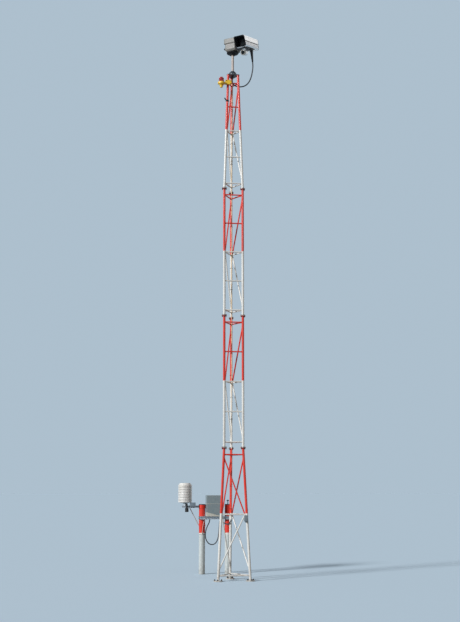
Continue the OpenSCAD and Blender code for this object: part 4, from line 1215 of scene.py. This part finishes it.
# The cabinet on the beam: a pale grey sheet metal box under a blue grey hood, whose lower edge is
# cut on a slant. The hood has a raised fold across it and dome-headed screws along its edges.
CABINET_X, CABINET_Y = -0.169, BEAM_Y + 0.040
CABINET_W, CABINET_T, CABINET_H = 0.296, 0.200, 0.400
HOOD_T, HOOD_H, HOOD_SLANT = 0.0033, 0.410, 0.080
HOOD_Z = BEAM_Z + BEAM_H / 2 + CABINET_H - HOOD_H + 0.012
HALF_W, HALF_T = CABINET_W / 2 + HOOD_T, CABINET_T / 2 + HOOD_T
FOLD_Z, FOLD_R, FOLD_CORNER = 1.371, 0.0030, 0.009
pale_sheet = coat("pale grey paint", (0.60, 0.63, 0.60), (0.50, 0.44, 0.32), (0.34, 0.28, 0.22),
                  rough=(0.40, 0.60), dusty=0.45, streak=0.45)
finish_nodes(pale_sheet, "cabinet")
finish_nodes(coat("hood paint", (0.200, 0.262, 0.290), (0.30, 0.345, 0.350), (0.40, 0.42, 0.42),
                  rough=(0.35, 0.55), dusty=0.45, streak=0.35), "cabinet_hood")


def fold_line():
    """A level line round the hood, with its upright corners rounded as the hood's are."""
    x, y = HALF_W - FOLD_CORNER, HALF_T - FOLD_CORNER
    for cx, cy, first in ((x, y, 0), (-x, y, 90), (-x, -y, 180), (x, -y, 270)):
        for k in range(5):
            turn = radians(first + 22.5 * k)
            yield at(CABINET_X + cx + FOLD_CORNER * cos(turn),
                     CABINET_Y + cy + FOLD_CORNER * sin(turn), FOLD_Z)


def hood_edge(x):
    """The height of the hood's slanted lower edge at a distance from its middle."""
    return HOOD_Z + HOOD_SLANT * (HALF_W - x) / (2 * HALF_W)


beads("hood_fold", [[*fold_line()]], FOLD_R, pale_sheet, "pale_grey_paint", "mast")
bolts("hood_screws", [(at(CABINET_X + x, CABINET_Y + side * HALF_T, z), Vector((0, side, 0)))
                      for side in (-1, 1) for x in (-0.130, 0, 0.130)
                      for z in (hood_edge(x) + 0.018, HOOD_Z + HOOD_H - 0.020)],
      new_zinc, "mast", across=0.007, height=0.003, depth=0.003, out=-0.001)


# The arm to the left: a galvanised box section on a clamp painted with the post, with a thin
# brace below it, a blue grey box, a short black sensor and the round white louvred screen.
CLAMP_X = POST_XS[0] - 0.0705
SCREEN_X, SCREEN_Z = -0.739, 1.400
PLATES, PLATE_PITCH = 11, 0.032
SCREEN_ROD_R, SCREEN_TOP = 0.070, SCREEN_Z + PLATES * PLATE_PITCH + 0.0262
SCREEN_BOX = (-0.644, 1.4077, 1.315)
BOX_SIZE = (0.105, 0.070, 0.080)
BOX_LID_T, BOX_LID_LIP, BOX_LID_DEPTH = 0.005, 0.002, 0.016


def part_painted(name, bare, dust):
    """Weathered metal to the left of the clamp, and the post's red paint on it."""
    look = Finish(name)
    shade = look.mix(look.spread(30, 5, 0, 0.6), bare, dust)
    red = look.mix(look.patches(34, 5, 0.4, 0.7, 0.3), RED, (0.30, 0.05, 0.04))
    wavering = look.calc("ADD", look.height(axis=0), look.spread(40, 2, -0.004, 0.004))
    shade = look.mix(look.calc("GREATER_THAN", wavering, CLAMP_X), shade, red)
    return look.done(shade, look.spread(50, 4, 0.35, 0.55), (look.cloud(180, 3), 0.3, 0.0005),
                     Metallic=0.1)


def yellowed_white():
    """White plastic a little yellowed, and darker grey where the plates meet."""
    look = Finish("white plastic")
    turns = look.calc("DIVIDE", look.calc("SUBTRACT", look.height(), SCREEN_Z), PLATE_PITCH)
    groove = between(look.tree, look.calc("FRACT", turns), 0.60, 0.86)
    # Here dusty is the share of darker grey in a band where each plate meets the next.
    dusty = look.calc("MULTIPLY", groove, look.spread(40, 4, 0.05, 0.25))
    shade = look.mix(look.patches(7, 4, 0.35, 0.65), (0.85, 0.85, 0.84), (0.79, 0.78, 0.74))
    shade = look.mix(dusty, shade, (0.42, 0.42, 0.44))
    streaked = look.patches(35, 4, 0.54, 0.74, 0.25, drawn=0.06)
    shade = look.mix(streaked, shade, (0.45, 0.44, 0.40))
    return look.done(shade, look.spread(60, 3, 0.32, 0.50), (look.cloud(300, 2), 0.15, 0.0004),
                     Subsurface_Weight=0.08, Subsurface_Radius=(0.01, 0.01, 0.01))


box_paint = coat("box paint", (0.185, 0.250, 0.310), (0.25, 0.29, 0.32), (0.35, 0.38, 0.40),
                 rough=(0.35, 0.55))
finish_nodes(part_painted("arm metal", (0.32, 0.38, 0.45), (0.48, 0.52, 0.56)), "screen_arm")
finish_nodes(part_painted("brace metal", (0.55, 0.50, 0.48), (0.40, 0.33, 0.30)), "arm_brace")
finish_nodes(box_paint, "screen_box")
finish_nodes(black_plastic, "screen_probe")
finish_nodes(yellowed_white(), "louvred_screen")


def box_at(x, y, z):
    """A point from the screen box's lower left front corner."""
    return at(SCREEN_BOX[0] + x, SCREEN_BOX[1] + y, SCREEN_BOX[2] + z)


box_lid = slab("screen_box_lid", box_at(-BOX_LID_LIP, -BOX_LID_T, -BOX_LID_LIP),
               box_at(BOX_SIZE[0] + BOX_LID_LIP, BOX_LID_DEPTH, BOX_SIZE[2] + BOX_LID_LIP),
               box_paint)
fitted(box_lid, "blue_grey_paint", "mast")
bolts("screen_box_screws", [(box_at(BOX_SIZE[0] / 2 + x, -BOX_LID_T, z), FRONT)
                            for x, z in corners(0.0405, 0.028, BOX_SIZE[2] / 2)],
      new_zinc, "mast", across=0.007, height=0.003, depth=0.003, out=-0.001)
for k, x in enumerate((0.030, 0.075)):
    gland(f"screen_box_gland_{k + 1}", box_at(x, BOX_SIZE[1] / 2, 0))
bolts("screen_nuts", ring_of(at(SCREEN_X, STAND_BACK, 0), 3, SCREEN_ROD_R, SCREEN_TOP, 90),
      new_zinc, "mast", across=0.010, height=0.005, depth=0.004, out=-0.0035)


with open("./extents.json", "w") as sizes:
    json.dump({"cad": [list(c) for c in cad_box], "visual": [list(c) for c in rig.bounds()]}, sizes)
